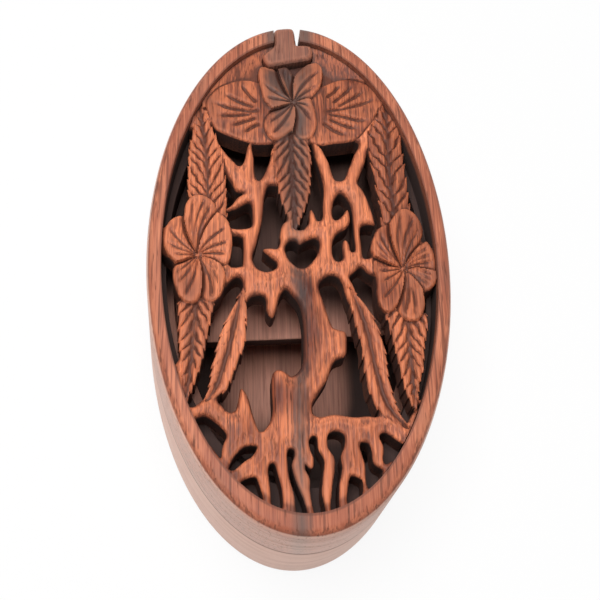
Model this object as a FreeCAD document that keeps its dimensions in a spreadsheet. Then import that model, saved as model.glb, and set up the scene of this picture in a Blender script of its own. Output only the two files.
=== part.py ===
import FreeCAD, Part
import math
import os
import Sketcher
from FreeCAD import Placement, Rotation, Vector

# Oval wooden puzzle box: a hollowed base, a lid that swivels on a dowel at its near end,
# a pierced and carved panel let into the lid, a key in the lid's far end and a loose inner
# cover that hides most of the hollow. The frame is in millimetres, +Z up, +Y towards the key,
# with the origin at the middle of the underside.

SIZES = [
    ("box_length", 150, "overall length of the oval"),
    ("box_width", 80, "overall width of the oval"),
    ("box_height", 40, "overall height, lid closed"),
    ("base_height", 22, "height of the seam above the underside"),
    ("seam_clearance", 0.15, "gap between base and lid"),
    ("top_round", 2.5, "rounding of the lid's upper edge"),
    ("bottom_round", 2, "rounding of the base's lower edge"),
    ("rim_side", 3.8, "width of the lid's rim at the long sides"),
    ("rim_end", 5.7, "width of the lid's rim at the ends"),
    ("panel_depth", 9, "lid's top down to the underside of the carved panel"),
    ("panel_ledge", 1.2, "ledge under the panel at the long sides"),
    ("lid_end_wall", 14, "solid wood at each end of the lid's hollow"),
    ("glue_gap", 0.05, "glue line round glued pieces"),
    ("base_side_wall", 7, "base wall beside the inner cover"),
    ("base_end_wall", 17, "base wall at the ends, beside the inner cover"),
    ("cover_ledge", 1.5, "ledge that the inner cover lies on"),
    ("floor_thickness", 5, "floor of the base"),
    ("cover_thickness", 4, "inner cover"),
    ("cover_recess", 0.4, "inner cover below the seam"),
    ("cover_clearance", 0.3, "gap round the inner cover"),
    ("cover_front", 17, "straight edge of the inner cover, from the middle towards -Y"),
    ("dowel_diameter", 6, "pivot dowel"),
    ("dowel_inset", 7.5, "dowel's axis from the near end"),
    ("dowel_floor", 8, "wood left in the base under the dowel"),
    ("dowel_roof", 2, "dowel's upper end below the carved panel"),
    ("dowel_end_room", 0.3, "free space over the dowel"),
    ("dowel_chamfer", 0.6, "chamfer on the dowel's ends"),
    ("pivot_clearance", 0.05, "radial running clearance in the lid"),
    ("key_shelf", 2, "wood left in the lid under the key"),
    ("key_clearance", 0.25, "gap round the key"),
    ("key_chamfer", 0.6, "eased upper edges of the key"),
    ("neck_width", 5.5, "key's neck"),
    ("neck_offset", 2.8, "neck's middle from the box's centre line, towards -X"),
    ("neck_length", 5.9, "key's neck, at its slit side"),
    ("slit_width", 2, "open slit beside the neck"),
    ("shoulder_drop", 1.5, "key's sloping shoulder starts this much below the head's top"),
    ("head_left", 3.8, "head beyond the neck towards -X"),
    ("head_right", 5.6, "head beyond the neck towards +X"),
    ("head_depth", 5.6, "head at its slit end"),
    ("head_tilt", 3.3, "drop of the head's lower edge towards -X"),
    ("head_round", 1.7, "rounded corners of the head"),
    ("carving_recess", 0.9, "flowers below the lid's top"),
    ("leaf_drop", 0.7, "leaves below the flowers"),
    ("tree_drop", 1.4, "tree and roots below the flowers"),
    ("ground_drop", 1.9, "plain ground at the far end below the flowers"),
    ("petal_slope", 1.1, "fall across each petal, as on a pinwheel"),
    ("flower_heart", 1.5, "radius of each flower's heart"),
    ("midrib_depth", 0.9, "groove along each leaf"),
    ("midrib_width", 1.4, "groove along each leaf"),
]

doc = FreeCAD.newDocument("PuzzleBox")
sheet = doc.addObject("Spreadsheet::Sheet", "Sizes")
for row, (alias, number, meaning) in enumerate(SIZES, start=1):
    sheet.set(f"A{row}", meaning)
    sheet.set(f"B{row}", str(number))
    sheet.setAlias(f"B{row}", alias)
doc.recompute()


class Size:
    """A size of the sheet, or a sum of them: its number, and the expression that keeps it bound."""

    def __init__(self, number, text):
        self.number = number
        self.text = text

    def join(self, other, sign):
        other = other if isinstance(other, Size) else Size(other, repr(other))
        results = {"+": lambda a, b: a + b, "-": lambda a, b: a - b, "*": lambda a, b: a * b}
        number = results[sign](self.number, other.number)
        return Size(number, f"({self.text} {sign} {other.text})")

    def __add__(self, other):
        return self.join(other, "+")

    def __sub__(self, other):
        return self.join(other, "-")

    def __mul__(self, other):
        return self.join(other, "*")

    def __neg__(self):
        return self.join(-1, "*")


ZERO = Size(0, "0")

# Lengths closer than this, in millimetres, count as the same
SAME = 0.001

# Flat steps that make up a rounded edge of the oval
ROUNDING_STEPS = 3


def size(alias):
    return Size(float(sheet.get(alias)), f"Sizes.{alias}")


def bind(obj, prop, value):
    obj.setExpression(prop, value.text)


# Sizes that several pieces share
half_length = size("box_length") * 0.5
half_width = size("box_width") * 0.5
lid_underside = size("base_height") + size("seam_clearance")
lid_height = size("box_height") - lid_underside
panel_underside = lid_height - size("panel_depth")
opening = (half_width - size("rim_side"), half_length - size("rim_end"))
lid_hollow = (opening[0] - size("panel_ledge"), half_length - size("lid_end_wall"))
cover_seat = (half_width - size("base_side_wall"), half_length - size("base_end_wall"))
base_hollow = (cover_seat[0] - size("cover_ledge"), cover_seat[1] - size("cover_ledge"))
cover_front = -size("cover_front")
cover_underside = size("base_height") - size("cover_recess") - size("cover_thickness")
dowel_radius = size("dowel_diameter") * 0.5
dowel_in_base = size("base_height") - size("dowel_floor")
dowel_in_lid = size("seam_clearance") + panel_underside - size("dowel_roof")
pivot_y = size("dowel_inset") - half_length


# Sketches and features

def new_body(label):
    body = doc.addObject("PartDesign::Body", label)
    body.Label = label
    return body


def new_sketch(body, name, level=None):
    """Sketch on the body's XY plane, raised to a level."""
    sketch = body.newObject("Sketcher::SketchObject", name)
    origin_plane = next(item for item in body.Origin.OriginFeatures if item.Role == "XY_Plane")
    sketch.AttachmentSupport = [(origin_plane, "")]
    sketch.MapMode = "FlatFace"
    if level is not None:
        bind(sketch, "AttachmentOffset.Base.z", level)
    return sketch


def constrain(sketch, *terms, value=None):
    """Constraint, bound to a size where it has one."""
    numbers = [] if value is None else [value.number]
    index = sketch.addConstraint(Sketcher.Constraint(*terms, *numbers))
    if value is not None:
        bind(sketch, f"Constraints[{index}]", value)


def add_oval(sketch, half_axes):
    """Whole ellipse about the origin with its long axis along Y."""
    across, along = half_axes
    oval = Part.Ellipse(Vector(0, along.number, 0), Vector(across.number, 0, 0), Vector())
    curve = sketch.addGeometry(oval)
    fix_oval(sketch, curve, curve + 1, half_axes)


def fix_oval(sketch, curve, first_axis, half_axes):
    sketch.exposeInternalGeometry(curve)
    constrain(sketch, "Coincident", curve, 3, -1, 1)
    constrain(sketch, "Vertical", first_axis)
    constrain(sketch, "Distance", first_axis, value=half_axes[1] * 2)
    constrain(sketch, "Distance", first_axis + 1, value=half_axes[0] * 2)


def add_part_oval(sketch, half_axes, cut_y):
    """Ellipse cut straight across at cut_y, keeping the far (+Y) side."""
    across, along = half_axes[0].number, half_axes[1].number
    cut_x = across * math.sqrt(1 - (cut_y.number / along) ** 2)
    oval = Part.Ellipse(Vector(0, along, 0), Vector(across, 0, 0), Vector())
    left, right = Vector(-cut_x, cut_y.number, 0), Vector(cut_x, cut_y.number, 0)
    end_angle = oval.parameter(right) + 2 * math.pi
    curve = sketch.addGeometry(Part.ArcOfEllipse(oval, oval.parameter(left), end_angle))
    chord = sketch.addGeometry(Part.LineSegment(right, left))
    fix_oval(sketch, curve, chord + 1, half_axes)
    constrain(sketch, "Coincident", curve, 1, chord, 2)
    constrain(sketch, "Coincident", curve, 2, chord, 1)
    constrain(sketch, "Horizontal", chord)
    constrain(sketch, "DistanceY", -1, 1, chord, 1, value=cut_y)


def add_polygon(sketch, corners):
    """Closed outline of straight lines with each corner placed from the origin."""
    points = [Vector(x.number, y.number, 0) for x, y in corners]
    lines = [sketch.addGeometry(Part.LineSegment(points[i - 1], points[i])) for i in range(len(points))]
    for line, following in zip(lines, lines[1:] + lines[:1]):
        constrain(sketch, "Coincident", line, 2, following, 1)
    for line, (x, y) in zip(lines, corners):
        constrain(sketch, "DistanceX", -1, 1, line, 2, value=x)
        constrain(sketch, "DistanceY", -1, 1, line, 2, value=y)


def add_circle(sketch, radius, centre_y):
    circle = sketch.addGeometry(Part.Circle(Vector(0, centre_y.number, 0), Vector(0, 0, 1), radius.number))
    constrain(sketch, "PointOnObject", circle, 3, -2)
    constrain(sketch, "DistanceY", -1, 1, circle, 3, value=centre_y)
    constrain(sketch, "Radius", circle, value=radius)


def pad(body, sketch, height):
    feature = body.newObject("PartDesign::Pad", f"{sketch.Name}_pad")
    feature.Profile = sketch
    bind(feature, "Length", height)
    doc.recompute()
    return feature


def rounded_levels(radius, levels):
    """Insets and heights down a rounded edge, from the top or the underside of a piece inwards."""
    angles = [math.pi / 2 * step / ROUNDING_STEPS for step in range(ROUNDING_STEPS + 1)]
    return [(radius * (1 - math.sin(angle)), levels(radius * (1 - math.cos(angle)))) for angle in angles]


def oval_block(body, sections):
    """Solid through ovals of the box's outline, each given by its inset and level."""
    ovals = []
    for number, (inset, level) in enumerate(sections):
        oval = new_sketch(body, f"{body.Label}_oval_{number}", level)
        add_oval(oval, (half_width - inset, half_length - inset))
        ovals.append(oval)
    feature = body.newObject("PartDesign::AdditiveLoft", f"{body.Label}_block")
    feature.Profile = ovals[0]
    feature.Sections = ovals[1:]
    feature.Ruled = True
    doc.recompute()


def pocket(body, sketch, depth, upwards=False):
    """Cut below its sketch, or above it where upwards is set; it has to take wood away."""
    before = body.Shape.Volume
    feature = body.newObject("PartDesign::Pocket", f"{sketch.Name}_pocket")
    feature.Profile = sketch
    feature.Reversed = upwards
    bind(feature, "Length", depth)
    doc.recompute()
    if not feature.Shape.Volume < before - 1:
        raise RuntimeError(f"{feature.Name} cuts nothing")
    return feature


def ease_edges(body, name, edges, kind, width):
    """Fillet or chamfer on those edges of the last feature that the test picks."""
    last = body.Tip
    names = [f"Edge{i}" for i, edge in enumerate(last.Shape.Edges, start=1) if edges(edge)]
    feature = body.newObject(f"PartDesign::{kind}", name)
    feature.Base = (last, names)
    bind(feature, {"Fillet": "Radius", "Chamfer": "Size"}[kind], width)
    doc.recompute()


def lies_at(level):
    """Test for an edge that lies flat at a height."""
    def test(edge):
        box = edge.BoundBox
        return abs(box.ZMin - level.number) < SAME and abs(box.ZMax - level.number) < SAME
    return test


def stand_at(body, x=None, y=None, z=None):
    for axis, value in zip("xyz", (x, y, z)):
        if value is not None:
            bind(body, f"Placement.Base.{axis}", value)


def key_outline(gap, slit):
    """T of the key, seen from above: neck to the outside, tilted head inside."""
    left = -size("neck_offset") - size("neck_width") * 0.5 - gap
    right = -size("neck_offset") + size("neck_width") * 0.5 + slit
    outside = half_length + size("rim_end")
    head_top = half_length - size("neck_length") + gap
    head_low = half_length - size("neck_length") - size("head_depth") - gap
    shoulder = head_top - size("shoulder_drop")
    head_left = left - size("head_left")
    head_right = -size("neck_offset") + size("neck_width") * 0.5 + size("head_right") + gap
    return [
        (left, outside),
        (left, shoulder),
        (head_left, shoulder - size("head_left")),
        (head_left + size("head_round"), head_low - size("head_tilt")),
        (head_right, head_low),
        (head_right, head_top),
        (right, head_top),
        (right, outside),
    ]


# The base: one hollow routed from a solid oval, with a seat for the inner cover over its far part

def make_base():
    body = new_body("base_tray")
    lower_edge = rounded_levels(size("bottom_round"), lambda depth: depth)
    oval_block(body, lower_edge + [(ZERO, size("base_height"))])
    seat = new_sketch(body, "cover_seat", size("base_height"))
    add_part_oval(seat, cover_seat, cover_front)
    pocket(body, seat, size("base_height") - cover_underside)
    hollow = new_sketch(body, "base_hollow", size("base_height"))
    add_oval(hollow, base_hollow)
    pocket(body, hollow, size("base_height") - size("floor_thickness"))
    bore = new_sketch(body, "base_bore", size("base_height"))
    add_circle(bore, dowel_radius + size("glue_gap"), pivot_y)
    pocket(body, bore, dowel_in_base)
    return body


def make_inner_cover():
    body = new_body("inner_cover")
    gap = size("cover_clearance")
    outline = new_sketch(body, "cover_outline")
    add_part_oval(outline, (cover_seat[0] - gap, cover_seat[1] - gap), cover_front)
    pad(body, outline, size("cover_thickness"))
    stand_at(body, z=cover_underside)
    return body


def make_dowel():
    body = new_body("pivot_dowel")
    length = dowel_in_base + dowel_in_lid
    outline = new_sketch(body, "dowel_outline")
    add_circle(outline, dowel_radius, pivot_y)
    pad(body, outline, length)
    both_ends = (lies_at(ZERO), lies_at(length))
    ease_edges(body, "dowel_ends", lambda edge: any(end(edge) for end in both_ends),
               "Chamfer", size("dowel_chamfer"))
    stand_at(body, z=size("dowel_floor"))
    return body


# The lid: an oval rim with thick ends, open above for the panel and hollow below

def lid_blank(body):
    """Solid oval of the lid's height with its upper edge rounded."""
    upper_edge = rounded_levels(size("top_round"), lambda depth: lid_height - depth)
    oval_block(body, upper_edge + [(ZERO, ZERO)])


def make_lid_rim():
    body = new_body("lid_rim")
    lid_blank(body)
    mouth = new_sketch(body, "panel_mouth", lid_height)
    add_oval(mouth, opening)
    pocket(body, mouth, size("panel_depth"))
    hollow = new_sketch(body, "lid_hollow")
    add_oval(hollow, lid_hollow)
    pocket(body, hollow, panel_underside, upwards=True)
    slot = new_sketch(body, "key_slot", lid_height)
    add_polygon(slot, key_outline(size("key_clearance"), size("slit_width")))
    pocket(body, slot, lid_height - size("key_shelf"))
    bore = new_sketch(body, "lid_bore")
    add_circle(bore, dowel_radius + size("pivot_clearance"), pivot_y)
    depth = dowel_in_lid + size("dowel_end_room") - size("seam_clearance")
    pocket(body, bore, depth, upwards=True)
    stand_at(body, z=lid_underside)
    return body, slot


def make_key():
    """The key is cut from the same blank as the rim, so that its outer end lies flush with it."""
    body = new_body("locking_key")
    lid_blank(body)
    waste = new_sketch(body, "key_waste", lid_height)
    reach_x, reach_y = half_width + size("rim_end"), half_length + size("rim_end") * 2
    corners = [(-reach_x, -reach_y), (reach_x, -reach_y), (reach_x, reach_y), (-reach_x, reach_y)]
    add_polygon(waste, corners)
    add_polygon(waste, key_outline(ZERO, ZERO))
    pocket(body, waste, lid_height)
    foot = new_sketch(body, "key_foot")
    add_oval(foot, (half_width, half_length))
    pocket(body, foot, size("key_shelf"), upwards=True)

    ease_edges(body, "head_corners", is_head_corner, "Fillet", size("head_round"))
    ease_edges(body, "key_upper_edges", is_key_top, "Chamfer", size("key_chamfer"))
    stand_at(body, z=lid_underside)
    return body


def is_key_top(edge):
    """Test for the key's upper edges, without the outer end, which the lid's rounding eases."""
    return lies_at(lid_height)(edge) and isinstance(edge.Curve, (Part.Line, Part.Circle))


def is_head_corner(edge):
    """Test for the four upright edges of the key's head."""
    box = edge.BoundBox
    corners = [(x.number, y.number) for x, y in key_outline(ZERO, ZERO)[2:6]]
    stands = box.XLength < SAME and box.YLength < SAME
    return stands and any(math.dist((box.XMin, box.YMin), corner) < SAME for corner in corners)


# The carved panel: tree, roots, leaves and flowers, pierced between. The layout is drawn in
# millimetres on an opening of these half-axes, and stretches with the real opening.

DRAWN_HALF_WIDTH = 36.2
DRAWN_HALF_LENGTH = 69.3
GROUND_EDGE = 46

# A petal's sloping face is cut from before its heart to beyond its tip, in lengths of its flanks
PETAL_CUT = (-1, 3)

# Openings that leave the tree and its roots standing; leaves and flowers lie over some of their edges
OPENINGS = [
    [(-29, 39), (-29, 36), (-29.8, 33), (-28, 31), (-28.5, 26), (-28.5, 21), (-28.5, 15.5), (-31.5, 11),
     (-36.5, 8), (-38, 15), (-36, 24), (-33, 33), (-30.4, 38)],
    [(29.8, 41), (29, 36), (28.8, 30), (28.8, 24), (29, 17), (31, 13), (32.6, 8), (33.5, 5.4),
     (36.4, 4), (38, 12), (36.5, 22), (34, 33), (31.6, 40)],
    [(-23.4, 40.5), (-22, 36.6), (-20.4, 33), (-17.2, 28.8), (-15.8, 27.6), (-14.6, 29), (-13.6, 33.6),
     (-13.2, 36.5), (-17, 39), (-20, 40.5)],
    [(-12, 36), (-11.8, 30), (-11.6, 25.4), (-10.7, 23.2), (-9.5, 24.3), (-8, 28), (-7.2, 31),
     (-6.6, 36)],
    [(4.2, 36), (5.2, 31), (6.5, 26), (7.2, 21), (6.8, 16), (6.7, 12.6), (6, 11), (5, 11.2),
     (4.3, 13.4), (3.4, 14.4), (2.9, 12.6), (2.8, 10.4), (2, 9), (1.1, 8.2), (-0.5, 8.6), (0, 14),
     (2, 22), (3, 32)],
    [(6.4, 37), (7.5, 33.5), (9, 29.5), (10, 25.2), (11, 23.8), (13, 24.3), (14.5, 28), (16, 32),
     (17.2, 37)],
    [(20.4, 34), (19, 29.5), (17.4, 25.5), (16.8, 23), (18.3, 20.5), (19.5, 17), (20.6, 12.5),
     (21.2, 9), (24, 12), (23.5, 18), (24, 24), (23.5, 30), (22, 34)],
    [(-20.8, 28), (-19.6, 25), (-17.8, 21.5), (-16.8, 19.5), (-14.8, 18.9), (-16.3, 17.7), (-18.2, 15),
     (-20.4, 14), (-22, 18), (-22, 24)],
    [(-19.4, 12.7), (-16.5, 14.2), (-13.6, 16), (-12.6, 15), (-12.3, 11), (-12.8, 8.6), (-15, 7.9),
     (-17.6, 8), (-19.6, 9.4)],
    [(-18.4, 5.2), (-15.5, 5.4), (-14.9, 3.5), (-15, -2.4), (-15.7, -3.4), (-18.2, -3.4), (-19, 0)],
    [(-7.6, 21.6), (-4, 20), (-3, 12), (-4.4, 9.4), (-5.2, 6), (-5.1, 4), (-5.9, 2.3), (-7.6, 2.3),
     (-9.7, 1.7), (-7.4, -0.7), (-6.1, -2), (-6.3, -3.6), (-8.5, -4.7), (-11, -4), (-12.2, -2),
     (-12.4, 0), (-11.5, 3), (-10.8, 6), (-10, 9.5), (-9.5, 13), (-9, 18)],
    [(-3.8, 2.4), (-2.6, 4.5), (-1, 4.6), (0.2, 3.6), (1.6, 4.5), (4, 5.5), (5.2, 4.8), (5.4, 2.8),
     (4.4, 0), (2, -2.9), (0.2, -3.5), (-1.5, -2.5), (-3.1, -0.4)],
    [(9.3, 13.6), (9.8, 17), (11.3, 19.6), (12.7, 19.2), (13.9, 17.4), (14.6, 15), (14.8, 11),
     (14.9, 7), (15, 3), (14.6, 1.8), (13.8, 2), (13.5, 3.8), (12.8, 5.1), (12, 5), (11.5, 3),
     (11.6, 0), (10.6, -1.2), (9.4, -0.8), (8.8, 1.6), (9.2, 5), (10.5, 7.2), (12.6, 8.6), (13.9, 10.4),
     (14.1, 12.6), (13.5, 14.8), (12, 12.8), (10.6, 11.5), (9.7, 11.6)],
    [(16.9, 9.3), (20.6, 10), (20.8, 7.5), (19.3, 4.8), (19.4, 2), (18.9, 0.2), (17.2, 0.1), (16.8, 3)],
    [(13.1, -6), (14.4, -4.4), (16.2, -2.9), (18, -4.6), (20.6, -6.6), (21.5, -12), (22, -17),
     (24.5, -22), (25, -28), (26, -34), (27, -38), (28.8, -41.5), (27, -43.6), (24.8, -46.4), (22, -42),
     (20, -35), (20, -27), (18, -20), (15.5, -13), (14, -8.4)],
    [(33.4, -9.6), (31.4, -14), (30.8, -19), (30.5, -25), (29.6, -32), (28.8, -36), (28.2, -38.4),
     (29, -40), (32, -37), (34.6, -29), (36.6, -20), (38, -12), (37, -7.4)],
    [(-37.4, 0.4), (-35, -1), (-33, -3.5), (-32.6, -8), (-31.4, -12), (-30.4, -16), (-30.4, -21),
     (-30.6, -26), (-31.2, -30), (-33.2, -31), (-36, -24), (-38, -16), (-38.4, -8)],
    [(-19.4, -9.3), (-17.8, -7.3), (-16.2, -6.5), (-15.2, -7.4), (-15, -9.6), (-15.6, -13),
     (-17.6, -17), (-19.6, -23), (-21.6, -31), (-22.8, -37), (-24.9, -40.3), (-27.5, -42.3),
     (-29.4, -41), (-28.4, -38), (-27, -33), (-25.5, -27), (-25, -20), (-24.5, -15.5), (-21.5, -12.3)],
    [(-14.2, -14), (-12.6, -12), (-10, -11.7), (-9.1, -13), (-8.9, -16.3), (-7.6, -18), (-6.5, -16),
     (-5.6, -12.2), (-4, -9.8), (-2.3, -11.5), (-0.4, -14.5), (0.4, -20), (0.3, -26), (0, -30),
     (-1.2, -32.6), (-3, -34), (-4.3, -33), (-6.3, -32.2), (-7.8, -33.6), (-8, -38), (-7.9, -43),
     (-8.6, -46.5), (-10.2, -48.7), (-11.6, -48.4), (-12.6, -45), (-13.6, -40.5), (-14.6, -38.2),
     (-15.7, -37.3), (-16.2, -40), (-17, -43), (-18.6, -43.6), (-20, -42.2), (-21.4, -40.2), (-20, -36),
     (-18, -31), (-16.4, -24), (-15.6, -16)],
    [(4.8, -9), (5.6, -7), (7.6, -5.6), (9.6, -5.9), (11, -7.8), (11.9, -12), (14.2, -18), (16, -22),
     (17, -27), (17, -31), (17.4, -35.5), (18, -40), (18.4, -44.2), (15.5, -44.4), (12, -44.7),
     (7.5, -44), (4, -44.6), (2.2, -43.8), (2.3, -41), (4, -38), (6, -34.8), (7.4, -31), (8.6, -29.4),
     (10.9, -28.3), (11.5, -25), (11.3, -21.8), (9.5, -21), (8.1, -20.4), (7, -17.5), (5.8, -13)],
    [(-27, -46), (-25, -44.7), (-23, -45.4), (-20.2, -47.7), (-18.9, -49.8), (-19.8, -52.4),
     (-20.5, -55.6), (-22.8, -53), (-25.5, -49.6)],
    [(-18.9, -58), (-18, -55.5), (-16, -53), (-14, -52), (-11.6, -52.3), (-12.6, -54.8), (-15, -56.6),
     (-17.4, -58.6)],
    [(-16.4, -62), (-14.9, -60.3), (-12.2, -59.8), (-11.1, -62), (-10.4, -65.6), (-13.4, -65)],
    [(-9.5, -58), (-8.9, -56.5), (-7.5, -56.4), (-6.7, -59), (-5.8, -63), (-5.9, -67.6), (-8.6, -67.2),
     (-9.2, -62)],
    [(-4.9, -54.2), (-4.2, -52.7), (-2.8, -52.9), (-2.5, -54.5), (-3.2, -56.8), (-2.9, -59), (-2, -62),
     (-0.5, -66), (0, -69.6), (-2.8, -69.4), (-3.4, -64.5), (-4.5, -60), (-4.8, -57)],
    [(0.6, -50.6), (1.8, -49.4), (3, -50), (3.3, -53), (4.6, -56), (4.1, -60), (3.8, -64), (4.4, -69),
     (1.6, -69.6), (0.4, -64), (0.4, -60.5), (-0.6, -58), (-0.3, -56.5), (1.1, -57.6), (1.5, -55.5),
     (0.7, -53)],
    [(5, -50.4), (5.8, -48.6), (8, -48.2), (9.8, -49.4), (9.8, -52), (8.8, -54.8), (8.9, -58), (8, -62),
     (7.5, -68), (5.2, -68), (5.8, -62), (6.5, -58), (6.5, -55.2), (5.2, -52.8)],
    [(9.6, -62), (10.5, -59.5), (12.5, -59.8), (13.8, -61.2), (13, -65), (9.4, -66.6)],
    [(12.9, -52.2), (13.6, -51), (15.4, -51.2), (16.3, -53), (16.7, -56.4), (18.8, -58.4), (17, -61.8),
     (14.6, -63), (13.9, -60.4), (14, -57), (13.4, -54.6)],
    [(18, -50.2), (18.4, -48.9), (20, -48.5), (22.6, -50.4), (25, -52.6), (22, -55.6), (19.2, -57),
     (18.5, -55.4), (18.8, -52.6)],
]

# Each leaf is (outline, midrib)
LEAVES = [
    ([(-4, 50), (-10, 55.5), (-15, 56.5), (-20.5, 54), (-23.5, 51), (-25.2, 47), (-23, 40), (-20.5, 38),
      (-15.5, 36), (-10, 34.8), (-5, 37)], [(0, 45.4), (-10, 45.6), (-25, 47)]),
    ([(4, 51), (11, 57), (16.5, 58.2), (21, 56.5), (24.5, 53.5), (26, 50.4), (24, 47), (21, 42),
      (17, 37.4), (10.5, 35.8), (6, 35.2), (3, 38)], [(0, 44.6), (8, 45.4), (25.6, 50.6)]),
    ([(-3.5, 38), (-6.8, 33), (-6.2, 26), (-5, 18), (-3.2, 12), (-1, 7.6), (1, 12), (3, 18), (3.9, 26),
      (3.8, 33), (1.5, 38)], [(-1.4, 40), (-1.4, 24), (-1, 8)]),
    ([(-27, 8), (-29.5, 17), (-29.8, 26.5), (-29.5, 33), (-28.8, 38), (-27.8, 44), (-27, 48.5),
      (-25, 43.5), (-23, 39), (-21, 33), (-20, 28), (-19.3, 16.5), (-20, 9)],
     [(-24.2, 4), (-24.6, 26), (-26.9, 47)]),
    ([(23, 8), (22.5, 14.5), (21.5, 23), (20.3, 34), (20.5, 39), (22.5, 44), (26.4, 51.5), (27.6, 47),
      (29.6, 41), (29.8, 36), (30.2, 30), (30.5, 20.5), (30.7, 15), (30.5, 8)],
     [(26.8, 4), (25.8, 26), (26.2, 50)]),
    ([(-23, -14), (-23, -18), (-24.3, -25), (-24.9, -29), (-26.2, -34), (-29.2, -41.5), (-30, -35.5),
      (-31.2, -26), (-31.4, -19), (-31, -14)], [(-27, -8), (-27.6, -26), (-29, -41)]),
    ([(22.3, -16), (22.5, -20), (23.5, -26), (24.5, -32), (25.5, -38), (28, -43), (29.2, -36.5),
      (30.6, -32), (31.6, -25), (32.5, -21), (32, -16)], [(27.4, -10), (27.6, -28), (27.8, -42)]),
    ([(-15, -9.5), (-14.1, -15), (-14.5, -25), (-16.5, -31), (-18.5, -36.8), (-20.8, -39.4),
      (-24.6, -41.2), (-23.6, -37), (-22.7, -31), (-20.5, -22), (-18, -16.5)],
     [(-14.8, -8), (-17.4, -24), (-20.8, -36), (-24, -41)]),
    ([(12, -9), (12.5, -12), (13.5, -19), (15, -26), (15.2, -31), (15.9, -36), (17.2, -41),
      (19.4, -44.4), (22, -46), (25.6, -47.6), (23.2, -42), (21.6, -34.5), (21.2, -27), (19.5, -20),
      (17, -14.5), (14, -10)], [(12.8, -8), (16.4, -20), (18.4, -32), (20.6, -41), (25, -47.2)]),
]

# Each flower is (heart, petals), a petal being its outer edge from the notch before it, counterclockwise
FLOWERS = [
    ((-0.4, 49), [
        [(4.6, 50), (7.4, 54.4), (8.4, 59.4), (8, 62.6), (6.4, 64), (3.8, 63), (1.6, 60.8)],
        [(0.3, 58.4), (-2.2, 60.8)],
        [(-4.8, 60.2), (-7.5, 61.2), (-9.9, 60.6), (-10.3, 57), (-9.6, 52), (-8.8, 48.6)],
        [(-6.8, 46), (-8.6, 43), (-9, 40), (-7.8, 37), (-5.8, 35.6), (-3.6, 36.6)],
        [(-0.8, 39.2), (0.4, 36.8), (2.2, 36.2), (4.6, 37.4), (5.9, 41), (5.7, 45)],
    ]),
    ((-26.8, -0.8), [
        [(-20.4, -4), (-18.6, -2.4), (-17.9, 1.5), (-17.9, 5), (-18.6, 8.4), (-20, 10.8)],
        [(-21.6, 12), (-22.6, 15), (-25.5, 17), (-28.6, 16.6), (-30.2, 14)],
        [(-30.6, 11.2), (-32, 11), (-34, 9.6), (-35.6, 6.5), (-35.8, 2.5), (-34.6, -1)],
        [(-32.5, -3.4), (-33.1, -5.4), (-33, -8), (-32.2, -11), (-31, -13.5), (-29, -15), (-26.8, -14.5)],
        [(-25.9, -12.8), (-24.6, -14), (-22.8, -14.3), (-20.9, -12.6), (-19.9, -9.8), (-19.6, -6.6)],
    ]),
    ((27.5, -3.3), [
        [(32.2, -10.4), (34.4, -9.4), (36.1, -7)],
        [(36.2, -4.6), (36.2, -1), (35.6, 2.2), (34.2, 4.6)],
        [(32.4, 3.4), (33.6, 7.8), (33, 10.8), (31.4, 13.4), (29, 14.6), (26.6, 13.4)],
        [(24.6, 10.2), (22.6, 9.4), (20.8, 7.6), (19.6, 4.8), (19, 2)],
        [(19.7, -0.2), (19.3, -3), (20, -7), (19.8, -11), (20.2, -14.2), (21.6, -16.4), (23.4, -16.4)],
        [(24.7, -14.8), (25.2, -16.4), (26.6, -18.2), (28.5, -18.9), (30.5, -18.4), (31.8, -16),
         (32.3, -13.4)],
    ]),
]


def spot(x, y, level=0):
    """Point of the layout, stretched to the lid's opening."""
    across = opening[0].number / DRAWN_HALF_WIDTH
    along = opening[1].number / DRAWN_HALF_LENGTH
    return Vector(x * across, y * along, level)


def upright(edges, height):
    """Solid that stands on the panel's underside with this outline."""
    solid = Part.Face(Part.Wire(edges)).extrude(Vector(0, 0, height))
    solid.translate(Vector(0, 0, panel_underside.number))
    return solid


def straight_cuts(points):
    """Closed outline of straight knife cuts through points of the layout."""
    corners = [spot(*point) for point in points]
    return Part.makePolygon(corners + corners[:1]).Edges


def groove(start, end, top):
    """Cutter of a midrib between two points of the layout."""
    run = end - start
    across = Vector(-run.y, run.x, 0).normalize() * (size("midrib_width").number / 2)
    depth = Vector(0, 0, size("midrib_depth").number)
    level = Vector(0, 0, top)
    profile = [start + across + level, start - depth + level, start - across + level]
    return Part.Face(Part.makePolygon(profile + profile[:1])).extrude(run)


def leaf(outline, midrib, top):
    """Leaf with its midrib cut in."""
    solid = upright(straight_cuts(outline), top - panel_underside.number)
    run = [spot(*point) for point in midrib]
    return solid.cut([groove(start, end, top) for start, end in zip(run, run[1:])])


def petal(heart, edge, top):
    """Petal whose face falls from its last flank to its first, as on a pinwheel."""
    solid = upright(straight_cuts([heart] + edge), top - panel_underside.number)
    slope = size("petal_slope").number
    fall = Vector(0, 0, slope / 2)
    middle = spot(*heart, top) - fall
    first = spot(*edge[0]) - spot(*heart) - fall
    last = spot(*edge[-1]) - spot(*heart) + fall
    near, far = PETAL_CUT
    corners = [(near, near), (far, near), (far, far), (near, far)]
    face = [middle + first * share + last * other for share, other in corners]
    return solid.cut(Part.Face(Part.makePolygon(face + face[:1])).extrude(Vector(0, 0, 2 * far * slope)))


def flower(heart, petals, top):
    """Petals side by side round a sunken heart."""
    edges = [edge + following[:1] for edge, following in zip(petals, petals[1:] + petals[:1])]
    heart_top = top - size("petal_slope").number / 2
    middle = spot(*heart, panel_underside.number)
    knob = Part.makeCylinder(size("flower_heart").number, heart_top - panel_underside.number, middle)
    return [petal(heart, edge, top) for edge in edges] + [knob]


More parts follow.
